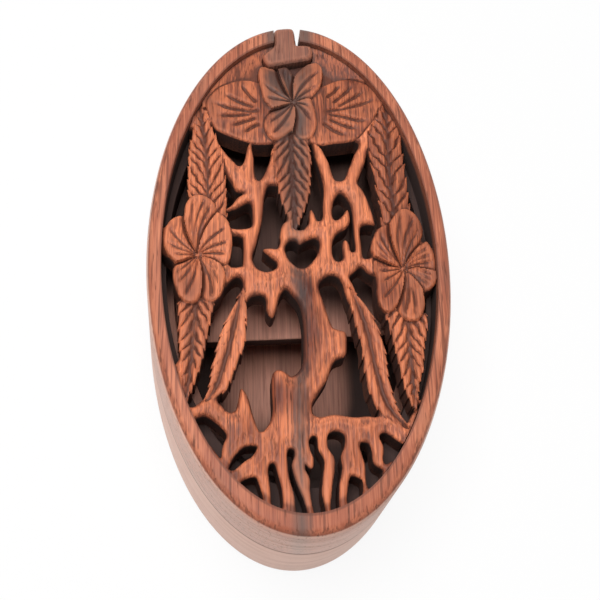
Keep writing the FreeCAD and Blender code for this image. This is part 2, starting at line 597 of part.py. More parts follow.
def make_carved_panel(slot):
    flower_top = lid_height.number - size("carving_recess").number
    leaf_top = flower_top - size("leaf_drop").number
    tree_top = flower_top - size("tree_drop").number
    ground_top = flower_top - size("ground_drop").number
    bottom = panel_underside.number

    across, along = (half_axis.number - size("glue_gap").number for half_axis in opening)
    oval = Part.Ellipse(Vector(0, along, 0), Vector(across, 0, 0), Vector()).toShape()
    inside = upright([oval], flower_top - bottom)
    ground_edge = spot(0, GROUND_EDGE).y
    far_end = Part.makeBox(2 * across, along, ground_top - bottom, Vector(-across, ground_edge, bottom))
    near_length = ground_edge + along
    near_end = Part.makeBox(2 * across, near_length, tree_top - bottom, Vector(-across, -along, bottom))
    tree = near_end.cut([upright(straight_cuts(outline), flower_top - bottom) for outline in OPENINGS])
    pieces = [far_end]
    pieces += [leaf(outline, midrib, leaf_top) for outline, midrib in LEAVES]
    for heart, petals in FLOWERS:
        pieces += flower(heart, petals, flower_top)
    carving = tree.multiFuse(pieces).common(inside)
    slot_face = Part.Face(slot.Shape.Wires[0])
    carving = carving.cut(slot_face.extrude(Vector(0, 0, -lid_height.number))).removeSplitter()
    panel = doc.addObject("Part::Feature", "carved_panel")
    panel.Label = "carved_panel"
    panel.Shape = carving
    panel.Placement = Placement(Vector(0, 0, lid_underside.number), Rotation())
    return panel


base = make_base()
cover = make_inner_cover()
dowel = make_dowel()
lid_rim, key_slot = make_lid_rim()
key = make_key()
doc.recompute()
carved_panel = make_carved_panel(key_slot)
doc.recompute()

for item in doc.Objects:
    if "Invalid" in item.State or "Error" in item.State:
        raise RuntimeError(f"{item.Name} failed: {item.State}")
os.makedirs("parts", exist_ok=True)
for node in (base, cover, dowel, lid_rim, key, carved_panel):
    shape = node.Shape
    if shape.isNull() or not shape.isValid() or len(shape.Solids) != 1:
        raise RuntimeError(f"{node.Label}: {len(shape.Solids)} solids, not one valid solid")
    print(node.Label, round(shape.Volume), len(shape.Faces), shape.BoundBox)
for node in (base, cover, dowel, lid_rim, key, carved_panel):
    node.Shape.exportStep(f"parts/{node.Label}.step")
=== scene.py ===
"""Looks of the oval wooden puzzle box: carved lid, rim, key, base, inner cover and dowel."""

import math

import bmesh
import bpy
import numpy as np
from bpy.props import FloatProperty, FloatVectorProperty, PointerProperty
from mathutils import Matrix, Vector
from mathutils.geometry import delaunay_2d_cdt


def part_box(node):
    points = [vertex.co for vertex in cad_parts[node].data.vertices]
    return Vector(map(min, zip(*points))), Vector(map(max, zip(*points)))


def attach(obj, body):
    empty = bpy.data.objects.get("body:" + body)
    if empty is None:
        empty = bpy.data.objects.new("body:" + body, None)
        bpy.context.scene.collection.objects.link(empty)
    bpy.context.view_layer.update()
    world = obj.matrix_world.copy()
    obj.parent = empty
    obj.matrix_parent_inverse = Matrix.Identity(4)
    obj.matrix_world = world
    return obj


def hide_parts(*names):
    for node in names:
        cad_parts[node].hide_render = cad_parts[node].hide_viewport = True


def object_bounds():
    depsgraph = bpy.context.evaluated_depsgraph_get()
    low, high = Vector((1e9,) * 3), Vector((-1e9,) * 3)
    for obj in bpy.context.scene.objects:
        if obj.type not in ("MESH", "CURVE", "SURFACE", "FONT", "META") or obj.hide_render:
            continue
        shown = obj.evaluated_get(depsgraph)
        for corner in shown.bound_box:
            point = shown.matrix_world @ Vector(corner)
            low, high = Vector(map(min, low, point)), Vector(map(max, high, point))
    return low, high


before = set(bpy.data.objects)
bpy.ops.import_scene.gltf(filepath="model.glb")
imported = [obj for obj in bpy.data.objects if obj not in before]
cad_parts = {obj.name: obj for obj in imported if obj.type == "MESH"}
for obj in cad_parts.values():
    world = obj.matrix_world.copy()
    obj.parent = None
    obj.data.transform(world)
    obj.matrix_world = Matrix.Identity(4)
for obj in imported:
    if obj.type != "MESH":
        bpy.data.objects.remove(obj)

bl_info = {
    "name": "Wooden Puzzle Box",
    "version": (1, 0, 0),
    "blender": (4, 5, 0),
    "location": "View3D > Sidebar > Puzzle Box",
    "description": "Dresses the oval puzzle box: carved lid, rim, key, base, inner cover and dowel",
    "category": "Add Mesh",
}

MM = 0.001
CAD_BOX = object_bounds()

# Points round each oval and round the floor
OVAL_POINTS = 192
FLOOR_POINTS = 64

# Spacing of the points along smooth curves, in millimetres
CURVE_STEP = 0.6

# How far cutters reach past the wood, and into each other, in millimetres
CUT_PAST = 5
CUT_OVERLAP = 0.01

# Rise of the inner cover's near edge for each millimetre across
COVER_SLANT = 0.06

# Edges that turn by more than this stay crisp
CRISP = math.radians(38)

# Stage, in metres
FLOOR_RADIUS = 1.5
FLOOR_DROP = 0.0001
LAMP_PLACE = (-0.12, 0.03, 0.66)
LAMP_SIZE = 0.45


# Sizes and colours that a user would change

def length(name, description, default):
    return FloatProperty(name=name, description=description, default=default, unit="LENGTH", precision=5)


def colour(name, description, default):
    return FloatVectorProperty(name=name, description=description, default=default, subtype="COLOR",
                               min=0, max=1)


class PuzzleBoxSizes(bpy.types.PropertyGroup):
    rim_side: length("Rim, sides", "Width of the lid's rim at the long sides", 0.0038)
    rim_end: length("Rim, ends", "Width of the lid's rim at the ends", 0.0057)
    top_round: length("Upper edge", "Rounding of the lid's upper edge", 0.0025)
    bottom_round: length("Lower edge", "Rounding of the base's lower edge", 0.002)
    worn_edge: length("Worn edge", "Softening of every other edge", 0.0004)
    panel_ledge: length("Panel ledge", "Ledge under the carved panel at the long sides", 0.0012)
    lid_end_wall: length("Lid end wall", "Solid wood at each end of the lid's hollow", 0.014)
    cover_ledge: length("Cover ledge", "Ledge that the inner cover lies on", 0.0015)
    cover_gap: length("Cover gap", "Gap round the inner cover", 0.0003)
    floor_thickness: length("Floor", "Floor of the base", 0.005)
    key_shelf: length("Key shelf", "Wood left in the lid under the key", 0.002)
    key_gap: length("Key gap", "Gap round the key", 0.00025)
    slit_width: length("Slit", "Open slit beside the key's neck", 0.002)
    bore_gap: length("Bore gap", "Play round the dowel", 0.00005)
    bore_room: length("Bore room", "Free space over the dowel", 0.0003)
    glue_line: length("Glue line", "Fine dark line between carved panel and rim", 0.00012)
    carving_step: length("Carving step", "Spacing of the points of the carved surface", 0.00025)


class PuzzleBoxWoods(bpy.types.PropertyGroup):
    pale: colour("Pale streaks", "Lighter bands of the carving's wood", (0.80, 0.25, 0.11))
    rim: colour("Rim", "Lighter bands of the rim's wood", (0.54, 0.19, 0.103))
    ruddy: colour("Ruddy wood", "Darker bands of the lid's wood", (0.31, 0.092, 0.051))
    heart: colour("Heartwood", "Greyish streak down the middle", (0.12, 0.075, 0.062))
    # Multiplied in for stains, and for painted shade on some patches and along the rim
    stain_and_shade: colour("Stain", "What old polish leaves of the wood's colour", (0.34, 0.28, 0.29))
    pores: colour("Pores", "Dark pores along the grain", (0.11, 0.038, 0.024))
    # Darkening in the cuts: partly old polish, partly painted shade
    cut_polish_and_shade: colour("Hollows", "Old polish in the cuts of the carving", (0.07, 0.024, 0.016))
    # Painted light: outer walls paler than the wood, for the glare and bounce light they catch, with long
    # grain
    sides: colour("Sides", "Paler long grain on the outer walls", (0.76, 0.52, 0.43))
    inside: colour("Inside", "Dull unpolished wood inside the box", (0.58, 0.275, 0.197))
    inside_dark: colour("Inside, dark", "Darker bands of the wood inside", (0.43, 0.2, 0.146))
    # Painted shade: flat dark colour laid inside the box, on its walls and ledges and on parts of the inner
    # cover and floor
    shade: colour("Shade", "Sooty inner walls of the lid", (0.05, 0.037, 0.035))
    dowel: colour("Dowel", "Plain turned wood of the dowel", (0.46, 0.27, 0.15))


class PuzzleBoxStage(bpy.types.PropertyGroup):
    target: FloatVectorProperty(name="Target", description="Point at the middle of the picture",
                                default=(0.00406, 0.00506, 0.0), subtype="TRANSLATION", unit="LENGTH")
    distance: length("Distance", "Camera from its target", 0.30824)
    azimuth: FloatProperty(name="Azimuth", description="Camera round the box", subtype="ANGLE",
                           default=math.radians(-13.564))
    elevation: FloatProperty(name="Elevation", description="Camera above the horizon", subtype="ANGLE",
                             default=math.radians(63.529))
    roll: FloatProperty(name="Roll", description="Camera turned about its own axis", subtype="ANGLE",
                        default=math.radians(13.254))
    lens: FloatProperty(name="Lens", description="Focal length", default=61.908, unit="CAMERA")
    key_power: FloatProperty(name="Window light", description="Soft light from above, a little to the left",
                             default=4.6, unit="POWER")
    ceiling_light: FloatProperty(name="Ceiling light", description="Light from straight above", default=0.3)
    wall_light: FloatProperty(name="Wall light", description="Light from all round, near the horizon",
                              default=0.75)


# Layout of the carving, in millimetres seen from above. Openings between trunk, branches and rim:

TREE_OPENINGS = [
    [(-29, 39), (-29, 36), (-29.8, 33), (-28, 31), (-28.5, 26), (-28.5, 21), (-28.5, 15.5), (-31.5, 11),
     (-36.5, 8), (-38, 15), (-36, 24), (-33, 33), (-30.4, 38)],
    [(29.8, 41), (29, 36), (28.8, 30), (28.8, 24), (29, 17), (31, 13), (32.6, 8), (33.5, 5.4), (36.4, 4),
     (38, 12), (36.5, 22), (34, 33), (31.6, 40)],
    [(-23.4, 40.5), (-22, 36.6), (-20.4, 33), (-17.2, 28.8), (-15.8, 27.6), (-14.6, 29), (-13.6, 33.6),
     (-13.2, 36.5), (-17, 39), (-20, 40.5)],
    [(-12, 36), (-11.8, 30), (-11.6, 25.4), (-10.7, 23.2), (-9.5, 24.3), (-8, 28), (-7.2, 31), (-6.6, 36)],
    [(4.2, 36), (5.2, 31), (6.5, 26), (7.2, 21), (6.8, 16), (6.7, 12.6), (6, 11), (5, 11.2), (4.3, 13.4),
     (3.4, 14.4), (2.9, 12.6), (2.8, 10.4), (2, 9), (1.1, 8.2), (-0.5, 8.6), (0, 14), (2, 22), (3, 32)],
    [(6.4, 37), (7.5, 33.5), (9, 29.5), (10, 25.2), (11, 23.8), (13, 24.3), (14.5, 28), (16, 32),
     (17.2, 37)],
    [(20.4, 34), (19, 29.5), (17.4, 25.5), (16.8, 23), (18.3, 20.5), (19.5, 17), (20.6, 12.5), (21.2, 9),
     (24, 12), (23.5, 18), (24, 24), (23.5, 30), (22, 34)],
    [(-20.8, 28), (-19.6, 25), (-17.8, 21.5), (-16.8, 19.5), (-14.8, 18.9), (-16.3, 17.7), (-18.2, 15),
     (-20.4, 14), (-22, 18), (-22, 24)],
    [(-19.4, 12.7), (-16.5, 14.2), (-13.6, 16), (-12.6, 15), (-12.3, 11), (-12.8, 8.6), (-15, 7.9),
     (-17.6, 8), (-19.6, 9.4)],
    [(-18.4, 5.2), (-15.5, 5.4), (-14.9, 3.5), (-15, -2.4), (-15.7, -3.4), (-18.2, -3.4), (-19, 0)],
    [(-7.6, 21.6), (-4, 20), (-3, 12), (-4.4, 9.4), (-5.2, 6), (-5.1, 4), (-5.9, 2.3), (-7.6, 2.3),
     (-9.7, 1.7), (-7.4, -0.7), (-6.1, -2), (-6.3, -3.6), (-8.5, -4.7), (-11, -4), (-12.2, -2), (-12.4, 0),
     (-11.5, 3), (-10.8, 6), (-10, 9.5), (-9.5, 13), (-9, 18)],
    [(-3.8, 2.4), (-2.6, 4.5), (-1, 4.6), (0.2, 3.6), (1.6, 4.5), (4, 5.5), (5.2, 4.8), (5.4, 2.8),
     (4.4, 0), (2, -2.9), (0.2, -3.5), (-1.5, -2.5), (-3.1, -0.4)],
    [(9.3, 13.6), (9.8, 17), (11.3, 19.6), (12.7, 19.2), (13.9, 17.4), (14.6, 15), (14.8, 11), (14.9, 7),
     (15, 3), (14.6, 1.8), (13.8, 2), (13.5, 3.8), (12.8, 5.1), (12, 5), (11.5, 3), (11.6, 0), (10.6, -1.2),
     (9.4, -0.8), (8.8, 1.6), (9.2, 5), (10.5, 7.2), (12.6, 8.6), (13.9, 10.4), (14.1, 12.6), (13.5, 14.8),
     (12, 12.8), (10.6, 11.5), (9.7, 11.6)],
    [(16.9, 9.3), (20.6, 10), (20.8, 7.5), (19.3, 4.8), (19.4, 2), (18.9, 0.2), (17.2, 0.1), (16.8, 3)],
    [(13.1, -6), (14.4, -4.4), (16.2, -2.9), (18, -4.6), (20.6, -6.6), (21.5, -12), (22, -17), (24.5, -22),
     (25, -28), (26, -34), (27, -38), (28.8, -41.5), (27, -43.6), (24.8, -46.4), (22, -42), (20, -35),
     (20, -27), (18, -20), (15.5, -13), (14, -8.4)],
    [(33.4, -9.6), (31.4, -14), (30.8, -19), (30.5, -25), (29.6, -32), (28.8, -36), (28.2, -38.4), (29, -40),
     (32, -37), (34.6, -29), (36.6, -20), (38, -12), (37, -7.4)],
    [(-37.4, 0.4), (-35, -1), (-33, -3.5), (-32.6, -8), (-31.4, -12), (-30.4, -16), (-30.4, -21),
     (-30.6, -26), (-31.2, -30), (-33.2, -31), (-36, -24), (-38, -16), (-38.4, -8)],
    [(-19.4, -9.3), (-17.8, -7.3), (-16.2, -6.5), (-15.2, -7.4), (-15, -9.6), (-15.6, -13), (-17.6, -17),
     (-19.6, -23), (-21.6, -31), (-22.8, -37), (-24.9, -40.3), (-27.5, -42.3), (-29.4, -41), (-28.4, -38),
     (-27, -33), (-25.5, -27), (-25, -20), (-24.5, -15.5), (-21.5, -12.3)],
    [(-14.2, -14), (-12.6, -12), (-10, -11.7), (-9.1, -13), (-8.9, -16.3), (-7.6, -18), (-6.5, -16),
     (-5.6, -12.2), (-4, -9.8), (-2.3, -11.5), (-0.4, -14.5), (0.4, -20), (0.3, -26), (0, -30),
     (-1.2, -32.6), (-3, -34), (-4.3, -33), (-6.3, -32.2), (-7.8, -33.6), (-8, -38), (-7.9, -43),
     (-8.6, -46.5), (-10.2, -48.7), (-11.6, -48.4), (-12.6, -45), (-13.6, -40.5), (-14.6, -38.2),
     (-15.7, -37.3), (-16.2, -40), (-17, -43), (-18.6, -43.6), (-20, -42.2), (-21.4, -40.2), (-20, -36),
     (-18, -31), (-16.4, -24), (-15.6, -16)],
    [(4.8, -9), (5.6, -7), (7.6, -5.6), (9.6, -5.9), (11, -7.8), (11.9, -12), (14.2, -18), (16, -22),
     (17, -27), (17, -31), (17.4, -35.5), (18, -40), (18.4, -44.2), (15.5, -44.4), (12, -44.7), (7.5, -44),
     (4, -44.6), (2.2, -43.8), (2.3, -41), (4, -38), (6, -34.8), (7.4, -31), (8.6, -29.4), (10.9, -28.3),
     (11.5, -25), (11.3, -21.8), (9.5, -21), (8.1, -20.4), (7, -17.5), (5.8, -13)],
]

ROOT_OPENINGS = [
    [(-27, -46), (-25, -44.7), (-23, -45.4), (-20.2, -47.7), (-18.9, -49.8), (-19.8, -52.4), (-20.5, -55.6),
     (-22.8, -53), (-25.5, -49.6)],
    [(-18.9, -58), (-18, -55.5), (-16, -53), (-14, -52), (-11.6, -52.3), (-12.6, -54.8), (-15, -56.6),
     (-17.4, -58.6)],
    [(-16.4, -62), (-14.9, -60.3), (-12.2, -59.8), (-11.1, -62), (-10.4, -65.6), (-13.4, -65)],
    [(-9.5, -58), (-8.9, -56.5), (-7.5, -56.4), (-6.7, -59), (-5.8, -63), (-5.9, -67.6), (-8.6, -67.2),
     (-9.2, -62)],
    [(-4.9, -54.2), (-4.2, -52.7), (-2.8, -52.9), (-2.5, -54.5), (-3.2, -56.8), (-2.9, -59), (-2, -62),
     (-0.5, -66), (0, -69.6), (-2.8, -69.4), (-3.4, -64.5), (-4.5, -60), (-4.8, -57)],
    [(0.6, -50.6), (1.8, -49.4), (3, -50), (3.3, -53), (4.6, -56), (4.1, -60), (3.8, -64), (4.4, -69),
     (1.6, -69.6), (0.4, -64), (0.4, -60.5), (-0.6, -58), (-0.3, -56.5), (1.1, -57.6), (1.5, -55.5),
     (0.7, -53)],
    [(5, -50.4), (5.8, -48.6), (8, -48.2), (9.8, -49.4), (9.8, -52), (8.8, -54.8), (8.9, -58), (8, -62),
     (7.5, -68), (5.2, -68), (5.8, -62), (6.5, -58), (6.5, -55.2), (5.2, -52.8)],
    [(9.6, -62), (10.5, -59.5), (12.5, -59.8), (13.8, -61.2), (13, -65), (9.4, -66.6)],
    [(12.9, -52.2), (13.6, -51), (15.4, -51.2), (16.3, -53), (16.7, -56.4), (18.8, -58.4), (17, -61.8),
     (14.6, -63), (13.9, -60.4), (14, -57), (13.4, -54.6)],
    [(18, -50.2), (18.4, -48.9), (20, -48.5), (22.6, -50.4), (25, -52.6), (22, -55.6), (19.2, -57),
     (18.5, -55.4), (18.8, -52.6)],
]

# Each leaf: outline, midrib, how it is cut and its share of stain. Cuts in millimetres: spacing of the veins
# along the midrib, their slant and depth, the midrib's depth and width, and the teeth
BROAD = {"spacing": 5.0, "slant": 1.0, "veins": 0.0, "rib": 0.0, "rib_width": 0.5, "teeth": 0.0}
FEATHERED = {"spacing": 3.9, "slant": 1.7, "veins": 0.65, "rib": 1.0, "rib_width": 0.7, "teeth": 0.55}
LOBED = {"spacing": 4.8, "slant": 1.5, "veins": 0.7, "rib": 1.0, "rib_width": 0.8, "teeth": 0.75}
SWORD = {"spacing": 4.2, "slant": 1.6, "veins": 0.14, "rib": 1.0, "rib_width": 0.85, "teeth": 0.55}

LEAVES = [
    ([(-4, 50), (-10, 55.5), (-15, 56.5), (-20.5, 54), (-23.5, 51), (-25.2, 47), (-23, 40), (-20.5, 38),
      (-15.5, 36), (-10, 34.8), (-5, 37)], [(0, 45.4), (-10, 45.6), (-25, 47)], BROAD, 0.5),
    ([(4, 51), (11, 57), (16.5, 58.2), (21, 56.5), (24.5, 53.5), (26, 50.4), (24, 47), (21, 42), (17, 37.4),
      (10.5, 35.8), (6, 35.2), (3, 38)], [(0, 44.6), (8, 45.4), (25.6, 50.6)], BROAD, 0.55),
    ([(-3.5, 38), (-6.8, 33), (-6.2, 26), (-5, 18), (-3.2, 12), (-1, 7.6), (1, 12), (3, 18), (3.9, 26),
      (3.8, 33), (1.5, 38)], [(-1.4, 40), (-1.4, 24), (-1, 8)], FEATHERED, 0.4),
    ([(-27, 8), (-29.5, 17), (-29.8, 26.5), (-29.5, 33), (-28.8, 38), (-27.8, 44), (-27, 48.5), (-25, 43.5),
      (-23, 39), (-21, 33), (-20, 28), (-19.3, 16.5), (-20, 9)],
     [(-24.2, 4), (-24.6, 26), (-26.9, 47)], FEATHERED, 0.2),
    ([(23, 8), (22.5, 14.5), (21.5, 23), (20.3, 34), (20.5, 39), (22.5, 44), (26.4, 51.5), (27.6, 47),
      (29.6, 41), (29.8, 36), (30.2, 30), (30.5, 20.5), (30.7, 15), (30.5, 8)],
     [(26.8, 4), (25.8, 26), (26.2, 50)], LOBED, 0.6),
    ([(-23, -14), (-23, -18), (-24.3, -25), (-24.9, -29), (-26.2, -34), (-29.2, -41.5), (-30, -35.5),
      (-31.2, -26), (-31.4, -19), (-31, -14)], [(-27, -8), (-27.6, -26), (-29, -41)], FEATHERED, 0.25),
    ([(22.3, -16), (22.5, -20), (23.5, -26), (24.5, -32), (25.5, -38), (28, -43), (29.2, -36.5), (30.6, -32),
      (31.6, -25), (32.5, -21), (32, -16)], [(27.4, -10), (27.6, -28), (27.8, -42)], FEATHERED, 0.3),
    ([(-15, -9.5), (-14.1, -15), (-14.5, -25), (-16.5, -31), (-18.5, -36.8), (-20.8, -39.4), (-24.6, -41.2),
      (-23.6, -37), (-22.7, -31), (-20.5, -22), (-18, -16.5)],
     [(-14.9, -8), (-18, -24), (-21.3, -36), (-24.2, -41)], SWORD, 0.0),
    ([(12, -9), (12.5, -12), (13.5, -19), (15, -26), (15.2, -31), (15.9, -36), (17.2, -41), (19.4, -44.4),
      (22, -46), (25.6, -47.6), (23.2, -42), (21.6, -34.5), (21.2, -27), (19.5, -20), (17, -14.5),
      (14, -10)], [(12.8, -8), (16.4, -20), (18.4, -32), (20.6, -41), (25, -47.2)], SWORD, 0.3),
]

# Each flower: heart, each petal's outer edge from the notch before it, counterclockwise, the shares of a
# petal's spread where it is scored, and the share of stain
FLOWERS = [
    ((-0.4, 49), [
        [(4.6, 50), (7.4, 54.4), (8.3, 58.8), (7.9, 61.4), (6.4, 62.7), (3.9, 62), (1.7, 60.2)],
        [(0.3, 58.4), (-2.2, 60.8)],
        [(-4.8, 60.2), (-7.5, 61.2), (-9.9, 60.6), (-10.3, 57), (-9.6, 52), (-8.8, 48.6)],
        [(-6.8, 46), (-8.6, 43), (-9, 40), (-7.8, 37), (-5.8, 35.6), (-3.6, 36.6)],
        [(-0.8, 39.2), (0.4, 36.8), (2.2, 36.2), (4.6, 37.4), (5.9, 41), (5.7, 45)],
    ], (0.38, 0.66), 0.35),
    ((-26.8, -0.8), [
        [(-20.4, -4), (-18.6, -2.4), (-17.9, 1.5), (-17.9, 5), (-18.6, 8.4), (-20, 10.8)],
        [(-21.6, 12), (-22.6, 15), (-25.5, 17), (-28.6, 16.6), (-30.2, 14)],
        [(-30.6, 11.2), (-32, 11), (-34, 9.6), (-35.6, 6.5), (-35.8, 2.5), (-34.6, -1)],
        [(-32.5, -3.4), (-33.1, -5.4), (-33, -8), (-32.2, -11), (-31, -13.5), (-29, -15), (-26.8, -14.5)],
        [(-25.9, -12.8), (-24.6, -14), (-22.8, -14.3), (-20.9, -12.6), (-19.9, -9.8), (-19.6, -6.6)],
    ], (0.28, 0.52, 0.76), 0.28),
    ((27.5, -3.3), [
        [(32.2, -10.4), (34.4, -9.4), (36.1, -7)],
        [(36.2, -4.6), (36.2, -1), (35.6, 2.2), (34.2, 4.6)],
        [(32.4, 3.4), (33.6, 7.8), (33, 10.8), (31.4, 13.4), (29, 14.6), (26.6, 13.4)],
        [(24.6, 10.2), (22.6, 9.4), (20.8, 7.6), (19.6, 4.8), (19, 2)],
        [(19.7, -0.2), (19.3, -3), (20, -7), (19.8, -11), (20.2, -14.2), (21.6, -16.4), (23.4, -16.4)],
        [(24.7, -14.8), (25.2, -16.4), (26.6, -18.2), (28.5, -18.9), (30.5, -18.4), (31.8, -16),
         (32.3, -13.4)],
    ], (0.3, 0.55, 0.8), 0.55),
]

# Grooves cut into the two broad leaves, beside their midribs
BROAD_LEAF_CUTS = [
    [(-23.6, 48), (-19, 46.3), (-14, 45.6), (-9.5, 45.6)],
    [(-20.6, 51.2), (-15.4, 48.2), (-11, 46.6)],
    [(-15.4, 54.8), (-13.2, 51.2), (-10.8, 48)],
    [(-22.4, 43.4), (-17, 43.8), (-12, 44.6)],
    [(-18.6, 40.2), (-14.4, 41.8), (-10.8, 43.4)],
    [(-14.8, 37.8), (-12.6, 39.9), (-10, 41.4)],
    [(24, 51.6), (19.6, 49.4), (14, 47.4), (7.6, 46)],
    [(20.6, 54.2), (16.2, 50.8), (11.6, 47.6)],
    [(17.2, 56.2), (14, 52.4), (10.4, 48.8)],
    [(13.4, 56.2), (11.6, 53.6), (8.8, 50.8)],
    [(21.4, 43.8), (17.6, 43.6), (13.4, 44.6), (8.4, 45.6)],
    [(18.2, 40.6), (14, 41.6), (9, 43.8)],
    [(14.8, 38.2), (11, 39.8), (7.4, 42.4)],
]

# Corners of the key's T with their rounding, counterclockwise. The last two bound the slit, and SLIT_TAPER
# is the share of its width at each of them
KEY_CORNERS = [(-5.55, 80, 0.1), (-5.55, 67.6, 1.4), (-9.4, 63.7, 1.5), (-7.7, 60.2, 1.5), (5.3, 63.5, 1.8),
               (5.55, 68.4, 2.2), (0.7, 68.2, 0.4), (-0.4, 80, 0.1)]
SLIT_TAPER = (0.35, 1.25)

# Corner where the key's grid of places starts, how far it goes to the right, and the rounding of its edges
KEY_GRID_START = (-11, 59)
KEY_GRID_RIGHT = 8
KEY_ROUND = 1.3

# Heights of the carving below the lid's top, in millimetres
FLOWER_DROP = 1.3
LEAF_DROP = 1.75
TREE_DROP = 2.1
GROUND_DROP = 1.7

# How far its highest points stay under the top of the CAD panel
TOP_PLAY = 0.02

# Near edge of the dished ground round the key and its dish for each millimetre from the rim
GROUND_EDGE = 46
GROUND_DISH = 0.3

# Distances from the middle towards the near end: where the roots begin, and where only roots are left
ROOTS_BEGIN = 42
ROOTS_ONLY = 50

# Half the width over which one carved form gives way to the next
BLEND = 0.25

# Share of a grid step that the outline keeps from the grid's own points
CROSSING_MARGIN = 0.08

# Turn of the petals' edges about the heart, in radians for each millimetre, and the fall across each petal
# in millimetres
SWIRL = 0.022
PETAL_SLOPE = 1.1

# Dark patches, partly old polish and partly painted shade, such as under the key's head and down the trunk's
# left flank: place, reach and share
DARK_PATCHES = [
    (0.5, -8, 4.0, 0.8), (1.8, -12, 3.0, 0.9), (2.0, -17, 3.0, 0.95), (1.7, -22, 3.0, 0.95),
    (1.3, -27, 3.0, 0.9), (0.6, -32, 3.0, 0.8), (-6, -39, 6.0, 1.0), (-1, -42, 4.0, 0.2),
    (-29, -9, 5.0, 0.3), (-24, -46, 7.0, 0.35), (-14, -51, 7.0, 0.35), (11, -53, 7.0, 0.55),
    (5, -22, 7.0, 0.15), (-8, -54, 9.0, 0.25), (22.5, -11, 4.5, 0.4), (31, 8, 7.0, 0.3),
    (28, 27, 9.0, 0.1), (-10, 46, 4.5, 0.35), (9, 46, 4.5, 0.35), (-3, 58.8, 3.6, 0.6),
    (2, 61.5, 3.2, 0.4), (-2, 24, 9.0, 0.2), (14, 62, 8.0, 0.3),
]


def box_mm(node):
    """Lowest and highest corner of a CAD node, in millimetres."""
    low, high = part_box(node)
    return np.array(low) / MM, np.array(high) / MM


# Curves and distances on the plane, in millimetres

def smooth_run(points, closed=False):
    """Points of a smooth curve through the given ones."""
    points = np.asarray(points, float)
    if closed:
        knots = np.vstack([points[-1:], points, points[:2]])
    else:
        knots = np.vstack([2 * points[0] - points[1], points, 2 * points[-1] - points[-2]])
    curve = []
    for before, start, end, after in zip(knots, knots[1:], knots[2:], knots[3:]):
        count = int(np.hypot(*(end - start)) / CURVE_STEP) + 2
        for t in np.arange(count) / count:
            turn = 2 * before - 5 * start + 4 * end - after
            twist = 3 * start - before - 3 * end + after
            curve.append(start + 0.5 * ((end - before) * t + turn * t ** 2 + twist * t ** 3))
    if not closed:
        curve.append(points[-1])
    return np.array(curve)


def segment_gap(x, y, start, end):
    """Share along a segment of the point nearest to each place, and the way from there to the place."""
    edge = end - start
    squared = max(edge @ edge, 1e-9)
    share = np.clip(((x - start[0]) * edge[0] + (y - start[1]) * edge[1]) / squared, 0, 1)
    return share, x - start[0] - share * edge[0], y - start[1] - share * edge[1]


def outline_distance(x, y, outline):
    """Distance to a closed outline, negative inside."""
    nearest = np.full(x.shape, np.inf)
    inside = np.zeros(x.shape, bool)
    for start, end in zip(outline, np.roll(outline, -1, axis=0)):
        _, off_x, off_y = segment_gap(x, y, start, end)
        nearest = np.minimum(nearest, np.hypot(off_x, off_y))
        if start[1] != end[1]:
            crossing = start[0] + (end[0] - start[0]) * (y - start[1]) / (end[1] - start[1])
            inside ^= ((start[1] > y) != (end[1] > y)) & (x < crossing)
    return np.where(inside, -nearest, nearest)


def beside_run(x, y, run):
    """How far along a run each place lies, how far to its left, and the run's length."""
    nearest = np.full(x.shape, np.inf)
    along = np.zeros(x.shape)
    left = np.zeros(x.shape)
    travelled = 0
    for start, end in zip(run, run[1:]):
        edge = end - start
        share, off_x, off_y = segment_gap(x, y, start, end)
        gap = np.hypot(off_x, off_y)
        nearer = gap < nearest
        nearest = np.where(nearer, gap, nearest)
        along = np.where(nearer, travelled + share * np.hypot(*edge), along)
        left = np.where(nearer, np.copysign(gap, edge[0] * off_y - edge[1] * off_x), left)
        travelled += np.hypot(*edge)
    return along, left, travelled


def oval_distance(x, y, across, along):
    """Distance to an oval about the middle, negative inside, good near its edge."""
    form = np.hypot(x / across, y / along)
    steep = np.hypot(x / across ** 2, y / along ** 2)
    return (form - 1) * form / np.maximum(steep, 1e-6)


def ease(value, start, end):
    """Smooth step from 0 at start to 1 at end."""
    share = np.clip((value - start) / (end - start), 0, 1)
    return share * share * (3 - 2 * share)


def rounding(depth, radius):
    """Fall of a rounded edge at a depth inside its outline."""
    inward = np.clip(depth, 0, radius)
    return radius - np.sqrt(radius ** 2 - (radius - inward) ** 2)


def blur(field, reach):
    """Soft average of a field over a reach counted in points."""
    across = np.fft.fftfreq(field.shape[0])[:, None]
    along = np.fft.rfftfreq(field.shape[1])[None, :]
    keep = np.exp(-2 * (math.pi * reach) ** 2 * (across ** 2 + along ** 2))
    return np.fft.irfft2(np.fft.rfft2(field) * keep, field.shape)


